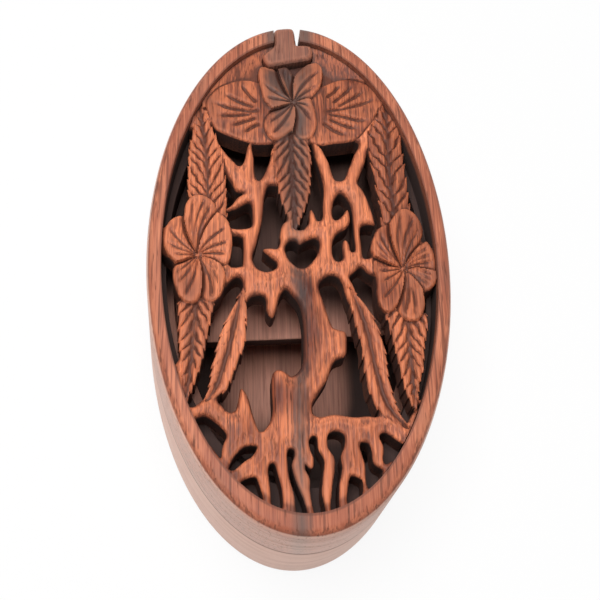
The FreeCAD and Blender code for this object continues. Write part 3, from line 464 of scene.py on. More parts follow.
class Carving:
    """A carved surface on a grid of places in millimetres: its height and the distance to its outline."""

    def __init__(self, low, high, step):
        self.step = step
        spans = [np.arange(low[axis] - step, high[axis] + 2 * step, step) for axis in (0, 1)]
        self.x, self.y = np.meshgrid(*spans, indexing="ij")
        self.height = np.zeros(self.x.shape)
        self.stain_and_shade = np.zeros(self.x.shape)
        self.distance = np.full(self.x.shape, 1000.0)

    def window(self, points, margin=3.0):
        """Part of the grid round some points."""
        bounds = []
        for axis, places in enumerate((self.x[:, 0], self.y[0])):
            low = np.min(np.asarray(points)[:, axis]) - margin
            high = np.max(np.asarray(points)[:, axis]) + margin
            bounds.append(slice(*np.searchsorted(places, (low, high))))
        return tuple(bounds)

    def wooded(self, spots):
        """Whether each spot lies on the carving rather than in an opening."""
        low = np.array([self.x[0, 0], self.y[0, 0]])
        across, along = np.rint((spots - low) / self.step).astype(int).T
        return self.distance[across, along] < 0

    def lay(self, window, distance, height, stain_and_shade=0.0):
        """Puts a form over what is there; beside everything, the nearer form sets the height."""
        under = self.distance[window]
        cover = np.where(under > 0, distance < under, ease(-distance, -BLEND, BLEND))
        self.height[window] += (height - self.height[window]) * cover
        self.stain_and_shade[window] += (stain_and_shade - self.stain_and_shade[window]) * cover
        self.distance[window] = np.minimum(under, distance)

    def lay_tree(self, openings, top):
        """Tree and roots: what stands between the openings, with rounded edges and grooves along the grain.

        The roots are a little thicker than the openings leave them, with sharper edges and less darkening
        along them.
        """
        distance = self.y - GROUND_EDGE
        rooted = ease(-self.y, ROOTS_BEGIN, ROOTS_ONLY)
        thicker, edge_round, edge_darkening = 0.3 * rooted, 1.6 - 0.7 * rooted, 0.6 - 0.5 * rooted
        for outline in openings:
            edge = smooth_run(outline, closed=True)
            window = self.window(edge, margin=8.0)
            gap = outline_distance(self.x[window], self.y[window], edge) + thicker[window]
            distance[window] = np.maximum(distance[window], -gap)
        wavering = self.x * 5.2 + 1.3 * np.sin(self.y * 0.21 + self.x * 0.4)
        grooves = 0.06 * np.sin(wavering) * ease(-distance, 0.3, 1.2)
        crown = 0.55 * ease(-distance, 1.0, 4.0)
        height = top - rounding(-distance, edge_round) + crown + grooves
        self.lay(np.s_[:, :], distance, height, edge_darkening * ease(distance, -1.3, -0.1))

    def lay_leaf(self, outline, midrib, cut, stain_and_shade, top):
        """Leaf with its midrib and veins cut in; the veins end in teeth along its edge."""
        edge = smooth_run(outline, closed=True)
        window = self.window(edge)
        x, y = self.x[window], self.y[window]
        along, left, total = beside_run(x, y, smooth_run(midrib))
        uneven = 0.16 * np.sin(along * 0.55 + outline[0][0]) + 0.07 * np.sin(along * 1.7 + left)
        lobe = (along - cut["slant"] * np.abs(left)) / cut["spacing"] + np.where(left > 0, 0.4, 0.0) + uneven
        scale = cut["spacing"] / math.hypot(1, cut["slant"])
        lobe -= np.floor(lobe)
        depth = cut["teeth"] * (lobe - 0.6) - outline_distance(x, y, edge)
        stroke = 0.26 + 0.2 * ease(depth, 0.4, 2.6)
        vein = score_mark(np.minimum(lobe, 1 - lobe) * scale, stroke) + 0.5 * (1 - lobe)
        ends = ease(along, 2.0, 5.0) * ease(total - along, 0.0, 5.0)
        fade = ease(np.abs(left), 0.0, 0.8) * ease(depth, -0.2, 1.0) * ends
        rib = score_mark(left, cut["rib_width"])
        arch = 0.006 * left ** 2
        height = top - rounding(depth, 0.8) - cut["veins"] * vein * fade - cut["rib"] * rib - arch
        self.lay(window, -depth, height, stain_and_shade + 0.3 * cut["rib"] * rib)

    def lay_flower(self, heart, petals, scored, stain_and_shade, top):
        """Petals that overlap like a pinwheel, scored from the flower's sunken heart."""
        followers = petals[1:] + petals[:1]
        edges = [smooth_run(edge + follower[:1]) for edge, follower in zip(petals, followers)]
        outline = np.vstack([edge[:-1] for edge in edges])
        window = self.window(outline)
        x, y = self.x[window], self.y[window]
        inward = -outline_distance(x, y, outline)
        turn, radius = swirl(x, y, heart)
        starts = np.array([swirl(*edge[0], heart)[0] for edge in edges])
        spans = (np.roll(starts, -1) - starts) % (2 * math.pi)
        face = np.full(radius.shape, top)
        for start, span in zip(starts, spans):
            share = (turn - start) % (2 * math.pi) / span
            away = ease(radius, 0.4, 4)
            crown = PETAL_SLOPE * (share - 0.6) + 0.45 * np.sin(math.pi * np.clip(share, 0, 1))
            stroke = 0.14 + 0.38 * ease(radius, 0.5, 6)
            scores = sum(score_mark((share - place) * span * radius, stroke) for place in scored)
            flank = score_mark(share * span * radius, stroke + 0.1)
            cuts = 0.6 * scores * ease(inward, 0.4, 2.8) + 0.7 * flank
            face = np.where(share < 1, top + crown * away - cuts * ease(radius, 0.1, 1.2), face)
        sunken = 0.8 * np.exp(-radius / 2.2)
        self.lay(window, -inward, np.minimum(face, top + 0.5) - sunken - rounding(inward, 0.9), stain_and_shade)

    def cut_groove(self, points, width, depth):
        """V-cut along a curve, deepest in its middle and running out at its ends."""
        run = smooth_run(points)
        window = self.window(run)
        along, left, total = beside_run(self.x[window], self.y[window], run)
        fade = ease(along, 0, 0.35 * total) * ease(total - along, 0, 0.15 * total)
        self.height[window] -= depth * fade * score_mark(left, width)

    def darken(self, x, y, reach, share):
        """Dark patch: old polish in some places, painted shade in others."""
        self.stain_and_shade += share * np.exp(-((self.x - x) ** 2 + (self.y - y) ** 2) / reach ** 2)

    def knife_marks(self, depth, reach, seed):
        """Slight unevenness of hand carving."""
        rough = np.random.default_rng(seed).standard_normal(self.x.shape)
        marks = blur(rough, reach / self.step)
        self.height += depth * marks / marks.std()

    def cut_polish_and_shade(self, reach, depth):
        """Share of each place that lies in a cut, darkened there: partly old polish, partly painted shade.
        """
        around = blur(self.height, reach / self.step)
        return np.clip((around - self.height) / depth, -1, 1)


def swirl(x, y, heart):
    """Angle and distance of places from a flower's heart, the angle turned with the distance."""
    radius = np.hypot(x - heart[0], y - heart[1])
    return np.arctan2(y - heart[1], x - heart[0]) + SWIRL * radius, radius


def score_mark(offset, width):
    """Section of a knife cut: 1 in its middle, 0 beside it."""
    return np.exp(-(offset / width) ** 2)


# Meshes

def add_piece(name, mesh):
    """Object for a finished mesh, smooth but for its crisp edges."""
    form = bmesh.new()
    form.from_mesh(mesh)
    for face in form.faces:
        face.smooth = True
    for edge in form.edges:
        edge.smooth = edge.smooth and len(edge.link_faces) == 2 and edge.calc_face_angle() < CRISP
    form.to_mesh(mesh)
    form.free()
    piece = bpy.data.objects.new(name, mesh)
    bpy.context.scene.collection.objects.link(piece)
    return piece


def relief_mesh(name, carving, underside, shades):
    """Closed mesh of a carved surface, upright walls round its outline and a flat underside.

    The shades are values for each place of the surface, kept as attributes of the mesh.
    """
    distance = carving.distance.ravel()
    fields = [carving.x, carving.y, carving.height, *shades.values()]
    columns = np.stack(fields, axis=-1).reshape(len(distance), -1)
    index = np.arange(len(distance)).reshape(carving.x.shape)
    corners = np.stack([index[:-1, :-1], index[1:, :-1], index[1:, 1:], index[:-1, 1:]], axis=-1)
    corners = corners.reshape(-1, 4)
    wooded = distance < 0
    whole = wooded[corners].all(axis=1)
    faces = [tuple(quad) for quad in corners[whole].tolist()]
    crossings = {}
    for quad in corners[wooded[corners].any(axis=1) & ~whole].tolist():
        face = []
        for a, b in zip(quad, quad[1:] + quad[:1]):
            if wooded[a]:
                face.append(a)
            if wooded[a] != wooded[b]:
                face.append(crossings.setdefault((min(a, b), max(a, b)), len(distance) + len(crossings)))
        faces.append(tuple(face))
    ends = np.array(list(crossings))
    gaps = distance[ends]
    share = gaps[:, 0] / (gaps[:, 0] - gaps[:, 1])
    share = np.clip(share, CROSSING_MARGIN, 1 - CROSSING_MARGIN)[:, None]
    columns = np.vstack([columns, columns[ends[:, 0]] * (1 - share) + columns[ends[:, 1]] * share])

    edges = np.array([(a, b) for face in faces for a, b in zip(face, face[1:] + face[:1])])
    forward = edges[:, 0] * len(columns) + edges[:, 1]
    backward = edges[:, 1] * len(columns) + edges[:, 0]
    rim = edges[~np.isin(forward, backward)].tolist()
    used = sorted({i for face in faces for i in face})
    feet = sorted({i for edge in rim for i in edge})
    place = {old: new for new, old in enumerate(used)}
    foot = {old: len(used) + new for new, old in enumerate(feet)}
    below = columns[feet, :3] * (1, 1, 0) + (0, 0, underside)
    faces = [tuple(place[i] for i in face) for face in faces]
    faces += [(place[b], place[a], foot[a], foot[b]) for a, b in rim]
    outlines = [(foot[a] - len(used), foot[b] - len(used)) for a, b in rim]
    below, triangles = pierced_floor(below, outlines, carving)
    faces += [tuple(len(used) + i for i in triangle) for triangle in triangles]

    mesh = bpy.data.meshes.new(name)
    mesh.from_pydata((np.vstack([columns[used, :3], below]) * MM).tolist(), [], faces)
    brink = {frozenset((place[a], place[b])) for a, b in rim}
    for edge in mesh.edges:
        edge.use_edge_sharp = frozenset(edge.vertices) in brink
    for shade, values in zip(shades, columns[used, 3:].T):
        attribute = mesh.attributes.new(shade, "FLOAT", "POINT")
        attribute.data.foreach_set("value", np.concatenate([values, np.zeros(len(below))]))
    return mesh


def pierced_floor(below, outlines, carving):
    """Points and downward triangles of a flat underside, left open where the carving is pierced."""
    inside_outlines = 1
    flat = [Vector(point) for point in below[:, :2].tolist()]
    spots, _, triangles, origins = delaunay_2d_cdt(flat, outlines, [], inside_outlines, 1e-6)[:4]
    crossings = [i for i, origin in enumerate(origins) if not origin]
    number = {i: origin[0] for i, origin in enumerate(origins) if origin}
    number.update({i: len(below) + new for new, i in enumerate(crossings)})
    below = np.vstack([below] + [[spots[i].x, spots[i].y, below[0, 2]] for i in crossings])
    triangles = np.array([[number[i] for i in reversed(triangle)] for triangle in triangles])
    return below, triangles[carving.wooded(below[triangles, :2].mean(axis=1))].tolist()


def oval(across, along, inset=0.0):
    """Points round an oval, moved inwards."""
    turn = np.arange(OVAL_POINTS) * 2 * math.pi / OVAL_POINTS
    normal = np.stack([np.cos(turn) / across, np.sin(turn) / along], axis=1)
    normal /= np.hypot(normal[:, 0], normal[:, 1])[:, None]
    return np.stack([across * np.cos(turn), along * np.sin(turn)], axis=1) - normal * inset


def cut_oval(across, along, front):
    """Far side of an oval, cut across a little askew."""
    tilt = math.atan2(COVER_SLANT * across, along)
    limit = math.asin(front / math.hypot(COVER_SLANT * across, along))
    turn = np.linspace(limit, math.pi - limit, OVAL_POINTS // 2) + tilt
    return np.stack([across * np.cos(turn), along * np.sin(turn)], axis=1)


def block(name, rings):
    """Closed mesh through rings of (outline, height), the lowest first."""
    form = bmesh.new()
    loops = [[form.verts.new((x * MM, y * MM, z * MM)) for x, y in outline] for outline, z in rings]
    for low, high in zip(loops, loops[1:]):
        for i in range(len(low)):
            form.faces.new((low[i - 1], low[i], high[i], high[i - 1]))
    form.faces.new(loops[0][::-1])
    form.faces.new(loops[-1])
    mesh = bpy.data.meshes.new(name)
    form.to_mesh(mesh)
    form.free()
    return mesh


def prism(name, outline, low, high):
    """Upright block on an outline between two heights."""
    return block(name, [(outline, low), (outline, high)])


def bore(low, high):
    """Cutter for the dowel's bore between two heights."""
    dowel_low, dowel_high = box_mm("pivot_dowel")
    play = bpy.context.scene.puzzle_box_sizes.bore_gap / MM
    radius = (dowel_high[0] - dowel_low[0]) / 2 + play
    return prism("bore", oval(radius, radius) + (dowel_low[:2] + dowel_high[:2]) / 2, low, high)


def shaped(name, mesh, cutters, worn):
    """Piece with the cutters taken out of it and its edges worn a little."""
    piece = bpy.data.objects.new(name, mesh)
    bpy.context.scene.collection.objects.link(piece)
    tools = []
    for number, cutter in enumerate(cutters):
        tool = bpy.data.objects.new(f"{name}_cutter_{number}", cutter)
        bpy.context.scene.collection.objects.link(tool)
        cut = piece.modifiers.new("cut", "BOOLEAN")
        cut.operation = "DIFFERENCE"
        cut.solver = "EXACT"
        cut.object = tool
        tools.append(tool)
    wear = piece.modifiers.new("wear", "BEVEL")
    wear.width = worn
    wear.segments = 3
    wear.limit_method = "ANGLE"
    wear.angle_limit = CRISP
    graph = bpy.context.evaluated_depsgraph_get()
    result = bpy.data.meshes.new_from_object(piece.evaluated_get(graph))
    for tool in tools + [piece]:
        bpy.data.objects.remove(tool)
    return add_piece(name, result)


def edge_rings(across, along, radius, edge_z, side):
    """Rings of a rounded edge, from the flat face at edge_z towards the wall."""
    rings = []
    for turn in np.linspace(0, math.pi / 2, 7):
        inset, drop = radius * (1 - math.sin(turn)), radius * (1 - math.cos(turn))
        rings.append((oval(across, along, inset), edge_z - side * drop))
    return rings


# Finishes

# Each slot's wood: colours of its lighter and darker bands, its roughness, and the shares of heartwood, of
# outer walls painted paler for the light they catch, of painted shade inside the box and of the dark line
# between panel and rim
FINISHES = {
    "base_wood": dict(pale="inside", ruddy="inside_dark", roughness=0.5, heart=0.3, sides=0.9, painted_shade=0.95),
    "inner_wood": dict(pale="inside", ruddy="inside_dark", roughness=0.6, heart=0.2, painted_shade=0.85),
    "dowel_wood": dict(pale="dowel", ruddy="dowel", roughness=0.55),
    "lid_wood": dict(pale="rim", ruddy="ruddy", roughness=0.5, heart=0.95, sides=0.72, painted_shade=0.95,
                     joint=0.65),
    "carved_wood": dict(pale="pale", ruddy="ruddy", roughness=0.5, heart=0.95, painted_shade=0.8, joint=0.65),
    "key_wood": dict(pale="rim", ruddy="ruddy", roughness=0.5, heart=0.6, sides=0.75, painted_shade=0.5),
}

# Scale of each kind of grain along the three axes, where a small one draws it out: along the length of the
# box, and round it on the outer walls
BAND_STRETCH = (1, 0.07, 1)
FIBRE_STRETCH = (1, 0.03, 1)
PORE_STRETCH = (1, 0.075, 1)
STREAK_STRETCH = (1, 0.02, 1)
SMUDGE_STRETCH = (1, 0.4, 1)
SIDE_STRETCH = (0.05, 0.05, 1)


class Wire:
    """An output socket of a material's nodes; arithmetic on it adds Math nodes."""

    def __init__(self, socket):
        self.socket = socket

    @staticmethod
    def node(tree, kind, settings, inputs, output=0):
        """Adds a node with its settings, then its sockets' values or links, and gives one of its outputs."""
        made = tree.nodes.new(kind)
        for setting, value in settings.items():
            setattr(made, setting, value)
        for name, value in inputs.items():
            if isinstance(value, Wire):
                tree.links.new(value.socket, made.inputs[name])
            else:
                made.inputs[name].default_value = value
        return Wire(made.outputs[output]) if made.outputs else None

    def math(self, operation, *values):
        settings = {"operation": operation}
        return Wire.node(self.socket.id_data, "ShaderNodeMath", settings, dict(enumerate(values)))

    def __add__(self, other):
        return self.math("ADD", self, other)

    __radd__ = __add__

    def __sub__(self, other):
        return self.math("SUBTRACT", self, other)

    def __rsub__(self, other):
        return self.math("SUBTRACT", other, self)

    def __mul__(self, other):
        return self.math("MULTIPLY", self, other)

    __rmul__ = __mul__

    def __abs__(self):
        return self.math("ABSOLUTE", self)

    def ramp(self, start, end):
        """Smooth mask: 0 at start, 1 at end."""
        return Wire.node(self.socket.id_data, "ShaderNodeMapRange", {"interpolation_type": "SMOOTHSTEP"},
                         {0: self, 1: start, 2: end})

    def axis(self, number):
        """X, Y or Z of a vector."""
        return Wire.node(self.socket.id_data, "ShaderNodeSeparateXYZ", {}, {0: self}, number)


def empty_tree(owner):
    """Node tree of a material or a world, with nothing in it."""
    owner.use_nodes = True
    owner.node_tree.nodes.clear()
    return owner.node_tree


class Timber:
    """Nodes of one wood: where each place lies on the box, and the colour as far as it is laid on."""

    def __init__(self, name, tint):
        self.material = bpy.data.materials.new(name)
        self.tree = empty_tree(self.material)
        self.tint = (*tint, 1)
        self.spot = Wire.node(self.tree, "ShaderNodeTexCoord", {}, {}, "Object")
        self.x, self.y, self.z = (self.spot.axis(number) for number in range(3))
        self.upward = Wire.node(self.tree, "ShaderNodeNewGeometry", {}, {}, "Normal").axis(2)
        across, along = (half * MM for half in lid_opening())

        # 1 on the edge of the lid's opening and less inside it
        self.form = self.x * self.x * across ** -2 + self.y * self.y * along ** -2
        self.within = self.form.ramp(1.14, 1.06)

        # Height of the seam, and what lies below it inside the base
        self.seam = box_mm("base_tray")[1][2] * MM
        self.deep = self.z.ramp(self.seam + 0.0006, self.seam + 0.0001)

    def noise(self, scale, detail, stretch=(1, 1, 1)):
        """Noise, drawn out along the axes whose stretch is small."""
        stretching = {0: self.spot, 1: stretch}
        place = Wire.node(self.tree, "ShaderNodeVectorMath", {"operation": "MULTIPLY"}, stretching)
        inputs = {"Vector": place, "Scale": scale, "Detail": detail}
        return Wire.node(self.tree, "ShaderNodeTexNoise", {}, inputs)

    def shade(self, name):
        """Values that a carved surface keeps as an attribute, 0 on other pieces."""
        return Wire.node(self.tree, "ShaderNodeAttribute", {"attribute_name": name}, {}, "Fac")

    def lay(self, share, tint, blend="MIX"):
        """Lays a share of a colour over what is there."""
        settings = {"data_type": "RGBA", "blend_type": blend}
        inputs = {0: share, 6: self.tint, 7: (*tint, 1)}
        self.tint = Wire.node(self.tree, "ShaderNodeMix", settings, inputs, 2)

    def painted_shade(self):
        """Painted shade inside the box: on its walls, the panel's ledge, and parts of inner cover and floor.

        Each ramp goes from the lit place to the shaded one, in metres or as the share of facing upwards.
        """
        x, y, z = self.x, self.y, self.z
        walls = abs(self.upward).ramp(0.34, 0.16) * z.ramp(0.0388, 0.0362)
        ledge = self.upward.ramp(0.3, 0.8) * z.ramp(0.0325, 0.0315) * z.ramp(0.028, 0.030)
        cover_far, cover_near = y.ramp(-0.017, 0.003), y.ramp(-0.036, -0.050)
        cover_right = x.ramp(0.0, 0.014)
        cover = z.ramp(0.010, 0.014) * (cover_far * 0.95 + cover_near + cover_right * 0.25)
        floor_near = y.ramp(-0.028, -0.046)
        floor_right, floor_left = x.ramp(0.0125, 0.0195), x.ramp(-0.014, -0.024)
        floor = z.ramp(0.014, 0.010) * (floor_near + floor_right + floor_left)
        return (walls + ledge + self.deep * (cover + floor)).ramp(0, 1) * self.within


def wood(slot):
    """Wood of a slot, named after it."""
    return oiled_wood(slot.replace("_", " "), **FINISHES[slot])


def oiled_wood(name, pale, ruddy, roughness, heart=0.0, sides=0.0, painted_shade=0.0, joint=0.0):
    """Oiled wood: grain along Y, a heartwood streak, outer walls painted paler for the light they catch,
    cuts darkened by old polish and painted shade, and painted shade in the box.
    """
    woods = bpy.context.scene.puzzle_box_woods
    pale, ruddy = getattr(woods, pale), getattr(woods, ruddy)
    timber = Timber(name, ruddy)
    tree, x, y, upward = timber.tree, timber.x, timber.y, timber.upward

    bands = timber.noise(210, 4, BAND_STRETCH)
    fibres = timber.noise(2200, 5, FIBRE_STRETCH)
    pores = timber.noise(1900, 2, PORE_STRETCH).ramp(0.60, 0.70)
    streaks = timber.noise(1250, 2, STREAK_STRETCH).ramp(0.54, 0.64)
    patina = timber.noise(55, 3).ramp(0.42, 0.68)
    near_end = y.ramp(-0.046, -0.070)
    plainer_inside = 1 - timber.deep * 0.8
    timber.lay((bands * 0.5 + fibres).ramp(0.6, 0.9), pale)
    timber.lay(patina * 0.45 + near_end * 0.5, ruddy)
    timber.lay(streaks * 0.62 * plainer_inside, woods.pores)

    sway = (timber.noise(30, 2) - 0.5) * 0.007
    half_width = y.math("MAXIMUM", y, 0) * 0.075 + 0.0012
    heartwood = (abs(x + sway + 0.0012) - half_width).ramp(0.0026, -0.0016)
    smudge = timber.noise(75, 3, SMUDGE_STRETCH).ramp(0.54, 0.72)
    timber.lay(heartwood * (bands.ramp(0.15, 0.6) * 0.3 + 0.7) * heart, woods.heart)
    timber.lay(smudge * 0.35 * heart, woods.heart)

    # Outer walls painted paler for the glare and bounce light they catch, with long grain layered in
    walls = abs(upward).ramp(0.66, 0.48)
    outside = 1 - timber.within
    outer_walls = walls * outside * sides
    layers = timber.noise(900, 4, SIDE_STRETCH).ramp(0.3, 0.62)
    rounded_edge = abs(upward).ramp(0.9, 0.7) * (1 - walls) * outside * sides
    seam_line = abs(timber.z - timber.seam).ramp(0.0006, 0.0003) * outside * sides
    joint_line = abs(timber.form - 1.004).ramp(0.022, 0.006) * joint
    timber.lay(outer_walls * (layers * 0.3 + 0.7), woods.sides)
    timber.lay(rounded_edge * 0.45 + seam_line * 0.6 + joint_line, woods.pores)
    timber.lay(pores * 0.75 * plainer_inside * (1 - outer_walls * 0.7), woods.pores)

    # Stains, and painted shade under the key's head, down the trunk's flank and along the rim
    stain_and_shade, hollow = timber.shade("stain_and_shade"), timber.shade("hollow")
    timber.lay(stain_and_shade, woods.stain_and_shade, "MULTIPLY")
    # Cuts darkened, partly for old polish and partly as painted shade
    timber.lay(hollow.ramp(0.02, 0.6) * 0.8, woods.cut_polish_and_shade)
    timber.lay((0 - hollow).ramp(0.05, 0.8) * (1 - stain_and_shade) * 0.4, pale)

    relief = fibres * 0.5 - pores
    bump = Wire.node(tree, "ShaderNodeBump", {}, {"Strength": 0.3, "Distance": 0.00012, "Height": relief})
    gloss = fibres * 0.2 + pores * 0.2 + (roughness - 0.1)
    oiled = Wire.node(tree, "ShaderNodeBsdfPrincipled", {}, {
        "Base Color": timber.tint, "Roughness": gloss, "Normal": bump, "Specular IOR Level": 0.2})
    # Painted shade inside the box: a flat dark matt colour mixed over the oiled wood
    painted_shade_bsdf = Wire.node(tree, "ShaderNodeBsdfDiffuse", {}, {"Color": (*woods.shade, 1)})
    shader = Wire.node(tree, "ShaderNodeMixShader", {}, {0: timber.painted_shade() * painted_shade, 1: oiled, 2: painted_shade_bsdf})
    Wire.node(tree, "ShaderNodeOutputMaterial", {}, {"Surface": shader})
    return timber.material


def finish_piece(piece, body, node, slot):
    """Puts a piece on its body in place of its CAD node, with its slot's wood."""
    piece.data.materials.clear()
    piece.data.materials.append(wood(slot))
    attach(piece, body)
    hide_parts(node)


# One operator for each piece

class PUZZLEBOX_OT_base_tray(bpy.types.Operator):
    """Base: hollowed oval block with a seat for the inner cover and the dowel's bore"""

    bl_idname = "puzzle_box.base_tray"
    bl_label = "Base"

    def execute(self, context):
        sizes = context.scene.puzzle_box_sizes
        low, high = box_mm("base_tray")
        across, along, top = high
        lower_edge = edge_rings(across, along, sizes.bottom_round / MM, low[2], -1)
        mesh = block("base_tray", lower_edge + [(oval(across, along), top)])

        cover_low, cover_high = box_mm("inner_cover")
        gap, ledge = sizes.cover_gap / MM, sizes.cover_ledge / MM
        seat = (cover_high[0] + gap, cover_high[1] + gap)
        hollow = (seat[0] - ledge, seat[1] - ledge)
        above = top + CUT_PAST
        cutters = [
            prism("seat", cut_oval(*seat, cover_low[1]), cover_low[2], above),
            prism("hollow", oval(*hollow), sizes.floor_thickness / MM, above),
            bore(box_mm("pivot_dowel")[0][2], above),
        ]
        piece = shaped("base", mesh, cutters, sizes.worn_edge)
        finish_piece(piece, "base", "base_tray", "base_wood")
        return {"FINISHED"}


class PUZZLEBOX_OT_inner_cover(bpy.types.Operator):
    """Inner cover: oval board cut straight across, over the hidden compartment"""

    bl_idname = "puzzle_box.inner_cover"
    bl_label = "Inner cover"

    def execute(self, context):
        sizes = context.scene.puzzle_box_sizes
        low, high = box_mm("inner_cover")
        mesh = prism("inner_cover", cut_oval(high[0], high[1], low[1]), low[2], high[2])
        piece = shaped("inner_board", mesh, [], sizes.worn_edge)
        finish_piece(piece, "cover", "inner_cover", "inner_wood")
        return {"FINISHED"}


class PUZZLEBOX_OT_pivot_dowel(bpy.types.Operator):
    """Dowel: the CAD node keeps its shape and gets its turned wood"""

    bl_idname = "puzzle_box.pivot_dowel"
    bl_label = "Pivot dowel"

    def execute(self, context):
        finish = wood("dowel_wood")
        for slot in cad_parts["pivot_dowel"].material_slots:
            slot.material = finish
        return {"FINISHED"}


class PUZZLEBOX_OT_lid_rim(bpy.types.Operator):
    """Lid rim: rounded oval frame, hollow below, with the key's slot and slit and the dowel's bore"""

    bl_idname = "puzzle_box.lid_rim"
    bl_label = "Lid rim"

    def execute(self, context):
        sizes = context.scene.puzzle_box_sizes
        low, high = box_mm("lid_rim")
        across, along, top = high
        upper_edge = edge_rings(across, along, sizes.top_round / MM, top, 1)
        mesh = block("lid_rim", [(oval(across, along), low[2])] + upper_edge[::-1])

        opening = lid_opening()
        hollow = (opening[0] - sizes.panel_ledge / MM, along - sizes.lid_end_wall / MM)
        panel_floor = box_mm("carved_panel")[0][2]
        slot_floor = low[2] + sizes.key_shelf / MM
        bore_top = box_mm("pivot_dowel")[1][2] + sizes.bore_room / MM
        above, below = top + CUT_PAST, low[2] - CUT_PAST
        cutters = [
            prism("mouth", oval(*opening), panel_floor, above),
            prism("hollow", oval(*hollow), below, panel_floor + CUT_OVERLAP),
            prism("slot", key_outline(sizes.key_gap / MM, sizes.slit_width / MM), slot_floor, above),
            bore(below, bore_top),
        ]
        piece = shaped("lid_frame", mesh, cutters, sizes.worn_edge)
        finish_piece(piece, "lid", "lid_rim", "lid_wood")
        return {"FINISHED"}


def lid_opening():
    """Half width and half length of the opening in the lid's rim, in millimetres."""
    sizes = bpy.context.scene.puzzle_box_sizes
    across, along, _ = box_mm("lid_rim")[1]
    return across - sizes.rim_side / MM, along - sizes.rim_end / MM


def key_outline(gap, slit):
    """Outline of the key's T with rounded corners, grown by a gap, with the slit beside its neck."""
    corners = np.array(KEY_CORNERS)
    corners[-2:, 0] += slit * np.array(SLIT_TAPER)
    outline = []
    for before, corner, after in zip(np.roll(corners, 1, axis=0), corners, np.roll(corners, -1, axis=0)):
        arms = [other[:2] - corner[:2] for other in (before, after)]
        start, end = (corner[:2] + arm * corner[2] / np.hypot(*arm) for arm in arms)
        for t in np.linspace(0, 1, 7):
            outline.append((1 - t) ** 2 * start + 2 * t * (1 - t) * corner[:2] + t ** 2 * end)
    outline = np.array(outline)
    run = np.roll(outline, -1, axis=0) - np.roll(outline, 1, axis=0)
    outward = np.stack([run[:, 1], -run[:, 0]], axis=1) / np.hypot(*run.T)[:, None]
    return outline + gap * outward


class PUZZLEBOX_OT_carved_panel(bpy.types.Operator):
    """Carved panel: pierced tree, roots, leaves and flowers under the level of the rim"""

    bl_idname = "puzzle_box.carved_panel"
    bl_label = "Carved panel"

    def execute(self, context):
        sizes = context.scene.puzzle_box_sizes
        low, high = box_mm("carved_panel")
        lid_top = box_mm("lid_rim")[1][2]
        step = sizes.carving_step / MM
        half_axes = high[0], -low[1]
        carving = Carving((-half_axes[0], -half_axes[1]), half_axes, step)
        rim_gap = oval_distance(carving.x, carving.y, *half_axes) + sizes.glue_line / MM

        ground = np.maximum(GROUND_EDGE - carving.y, rim_gap)
        dish = lid_top - GROUND_DROP - GROUND_DISH * np.clip(-rim_gap, 0, 6)
        carving.lay(np.s_[:, :], ground, dish, 0.5)
        carving.lay_tree(TREE_OPENINGS + ROOT_OPENINGS, lid_top - TREE_DROP)
        for outline, midrib, cut, stain_and_shade in LEAVES:
            carving.lay_leaf(outline, midrib, cut, stain_and_shade, lid_top - LEAF_DROP)
        for groove in BROAD_LEAF_CUTS:
            carving.cut_groove(groove, width=0.6, depth=0.9)
        for heart, petals, scored, stain_and_shade in FLOWERS:
            carving.lay_flower(heart, petals, scored, stain_and_shade, lid_top - FLOWER_DROP)
        for patch in DARK_PATCHES:
            carving.darken(*patch)
        # Painted shade on the panel where it meets the rim, wider at the near end
        near_end = ease(-carving.y, 45, 60)
        rim_shade = 0.75 * ease(rim_gap, -0.9 - 1.9 * near_end, -0.2 - 1.2 * near_end)
        carving.stain_and_shade = np.maximum(carving.stain_and_shade, rim_shade)
        carving.knife_marks(depth=0.035, reach=0.7, seed=3)
        carving.knife_marks(depth=0.07, reach=3.0, seed=5)
        fine, wide = carving.cut_polish_and_shade(reach=0.8, depth=0.42), carving.cut_polish_and_shade(reach=3.0, depth=1.5)
        shades = {"hollow": np.clip(fine + 0.5 * wide, -1, 1), "stain_and_shade": np.clip(carving.stain_and_shade, 0, 1)}

        slot = key_outline(sizes.key_gap / MM, sizes.slit_width / MM)
        around_key = -outline_distance(carving.x, carving.y, slot)
        carving.distance = np.maximum.reduce([carving.distance, rim_gap, around_key])
        carving.height = np.minimum(carving.height, high[2] - TOP_PLAY)
        piece = add_piece("carving", relief_mesh("carved_panel", carving, low[2], shades))
        finish_piece(piece, "lid", "carved_panel", "carved_wood")
        return {"FINISHED"}


class PUZZLEBOX_OT_locking_key(bpy.types.Operator):
    """Key: T-shaped block with rounded corners, flush with the rim"""

    bl_idname = "puzzle_box.locking_key"
    bl_label = "Key"

    def execute(self, context):
        sizes = context.scene.puzzle_box_sizes
        underside = box_mm("locking_key")[0][2]
        across, along, top = box_mm("lid_rim")[1]
        carving = Carving(KEY_GRID_START, (KEY_GRID_RIGHT, along), sizes.carving_step / MM)
        outer = oval_distance(carving.x, carving.y, across, along)
        shape = outline_distance(carving.x, carving.y, key_outline(0.0, 0.0))
        distance = np.maximum(shape, outer)
        height = top - rounding(-outer, sizes.top_round / MM) - rounding(-shape, KEY_ROUND)
        carving.lay(np.s_[:, :], distance, height)
        carving.knife_marks(depth=0.02, reach=0.8, seed=7)
        carving.height = np.minimum(carving.height, top)
        shades = {"hollow": carving.cut_polish_and_shade(reach=0.8, depth=0.8)}
        piece = add_piece("key", relief_mesh("locking_key", carving, underside, shades))
        finish_piece(piece, "key", "locking_key", "key_wood")
        return {"FINISHED"}


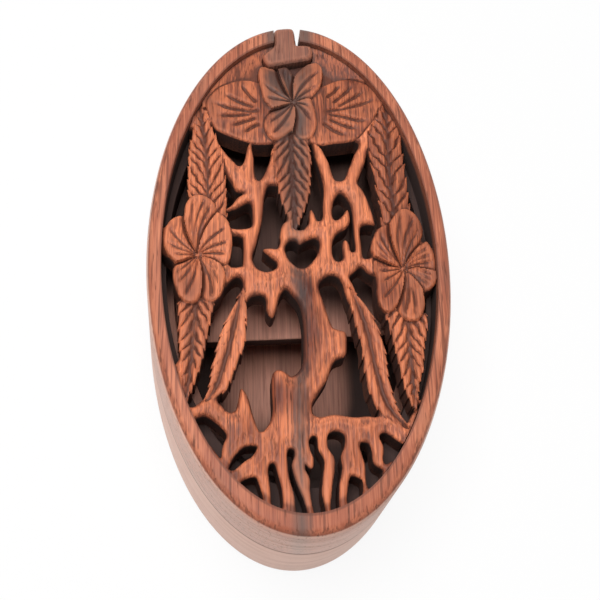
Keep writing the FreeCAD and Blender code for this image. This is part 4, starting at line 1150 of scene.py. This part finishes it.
class PUZZLEBOX_OT_stage(bpy.types.Operator):
    """Stage: white floor and room, one large soft light from above, a little to the left, and the camera"""

    bl_idname = "puzzle_box.stage"
    bl_label = "Stage"

    def execute(self, context):
        scene = context.scene
        stage = scene.puzzle_box_stage
        scene.view_settings.view_transform = "Standard"
        self.add_floor(scene)
        self.add_room(scene, stage)
        self.add_light(scene, stage)
        self.add_camera(scene, stage)
        return {"FINISHED"}

    def add_floor(self, scene):
        form = bmesh.new()
        bmesh.ops.create_circle(form, cap_ends=True, segments=FLOOR_POINTS, radius=FLOOR_RADIUS)
        mesh = bpy.data.meshes.new("floor")
        form.to_mesh(mesh)
        form.free()
        floor = bpy.data.objects.new("floor", mesh)
        floor.location.z = CAD_BOX[0][2] - FLOOR_DROP
        scene.collection.objects.link(floor)
        material = bpy.data.materials.new("white floor")
        tree = empty_tree(material)
        matt = Wire.node(tree, "ShaderNodeBsdfDiffuse", {}, {"Color": (0.8, 0.8, 0.8, 1)})
        bright = Wire.node(tree, "ShaderNodeEmission", {}, {"Strength": 1.0})
        shown_white = seen_directly(tree) * 0.9
        surface = Wire.node(tree, "ShaderNodeMixShader", {}, {0: shown_white, 1: matt, 2: bright})
        Wire.node(tree, "ShaderNodeOutputMaterial", {}, {"Surface": surface})
        mesh.materials.append(material)

    def add_room(self, scene, stage):
        world = bpy.data.worlds.new("white room")
        tree = empty_tree(world)
        white = (1, 1, 1, 1)
        height = Wire.node(tree, "ShaderNodeTexCoord", {}, {}, "Generated").axis(2)
        strength = height.ramp(0.75, 0.0) * (stage.wall_light - stage.ceiling_light) + stage.ceiling_light
        lit = Wire.node(tree, "ShaderNodeBackground", {}, {"Color": white, "Strength": strength})
        bright = Wire.node(tree, "ShaderNodeBackground", {}, {"Color": white, "Strength": 1.0})
        surface = Wire.node(tree, "ShaderNodeMixShader", {}, {0: seen_directly(tree), 1: lit, 2: bright})
        Wire.node(tree, "ShaderNodeOutputWorld", {}, {"Surface": surface})
        scene.world = world

    def add_light(self, scene, stage):
        data = bpy.data.lights.new("window", "AREA")
        data.energy = stage.key_power
        data.size = LAMP_SIZE
        lamp = bpy.data.objects.new("window", data)
        lamp.location = LAMP_PLACE
        lamp.rotation_euler = (-lamp.location).to_track_quat("-Z", "Y").to_euler()
        scene.collection.objects.link(lamp)

    def add_camera(self, scene, stage):
        back = Vector((0, -math.cos(stage.elevation), math.sin(stage.elevation)))
        back.rotate(Matrix.Rotation(stage.azimuth, 3, "Z"))
        right = Vector((0, 0, 1)).cross(back).normalized()
        right.rotate(Matrix.Rotation(stage.roll, 3, back))
        axes = Matrix((right, back.cross(right), back)).transposed()
        camera = bpy.data.objects.new("camera", bpy.data.cameras.new("camera"))
        camera.data.lens = stage.lens
        camera.data.clip_start = 0.01
        place = Vector(stage.target) + back * stage.distance
        camera.matrix_world = Matrix.Translation(place) @ axes.to_4x4()
        scene.collection.objects.link(camera)
        scene.camera = camera


def seen_directly(tree):
    """1 for rays from the camera, mirrored or through glass, to which floor and room show as plain white."""
    rays = [Wire.node(tree, "ShaderNodeLightPath", {}, {}, output)
            for output in ("Is Camera Ray", "Is Glossy Ray", "Is Transmission Ray")]
    return rays[0].math("MAXIMUM", rays[0], rays[1].math("MAXIMUM", rays[1], rays[2]))


class PUZZLEBOX_PT_panel(bpy.types.Panel):
    """Sizes, woods and pieces of the puzzle box"""

    bl_idname = "PUZZLEBOX_PT_panel"
    bl_label = "Puzzle Box"
    bl_space_type = "VIEW_3D"
    bl_region_type = "UI"
    bl_category = "Puzzle Box"

    def draw(self, context):
        for group in (context.scene.puzzle_box_sizes, context.scene.puzzle_box_woods,
                      context.scene.puzzle_box_stage):
            column = self.layout.column()
            for name in group.__annotations__:
                column.prop(group, name)
        for operator in OPERATORS:
            self.layout.operator(operator.bl_idname)


GROUPS = {"puzzle_box_sizes": PuzzleBoxSizes, "puzzle_box_woods": PuzzleBoxWoods,
          "puzzle_box_stage": PuzzleBoxStage}
OPERATORS = [PUZZLEBOX_OT_stage, PUZZLEBOX_OT_base_tray, PUZZLEBOX_OT_inner_cover, PUZZLEBOX_OT_pivot_dowel,
             PUZZLEBOX_OT_lid_rim, PUZZLEBOX_OT_carved_panel, PUZZLEBOX_OT_locking_key]


def register():
    for cls in [*GROUPS.values(), *OPERATORS, PUZZLEBOX_PT_panel]:
        bpy.utils.register_class(cls)
    for name, group in GROUPS.items():
        setattr(bpy.types.Scene, name, PointerProperty(type=group))


def unregister():
    for name in GROUPS:
        delattr(bpy.types.Scene, name)
    for cls in [PUZZLEBOX_PT_panel, *OPERATORS[::-1], *GROUPS.values()]:
        bpy.utils.unregister_class(cls)


def main():
    register()
    bpy.ops.puzzle_box.stage()
    bpy.ops.puzzle_box.base_tray()
    bpy.ops.puzzle_box.inner_cover()
    bpy.ops.puzzle_box.pivot_dowel()
    bpy.ops.puzzle_box.lid_rim()
    bpy.ops.puzzle_box.carved_panel()
    bpy.ops.puzzle_box.locking_key()


if __name__ == "__main__":
    main()
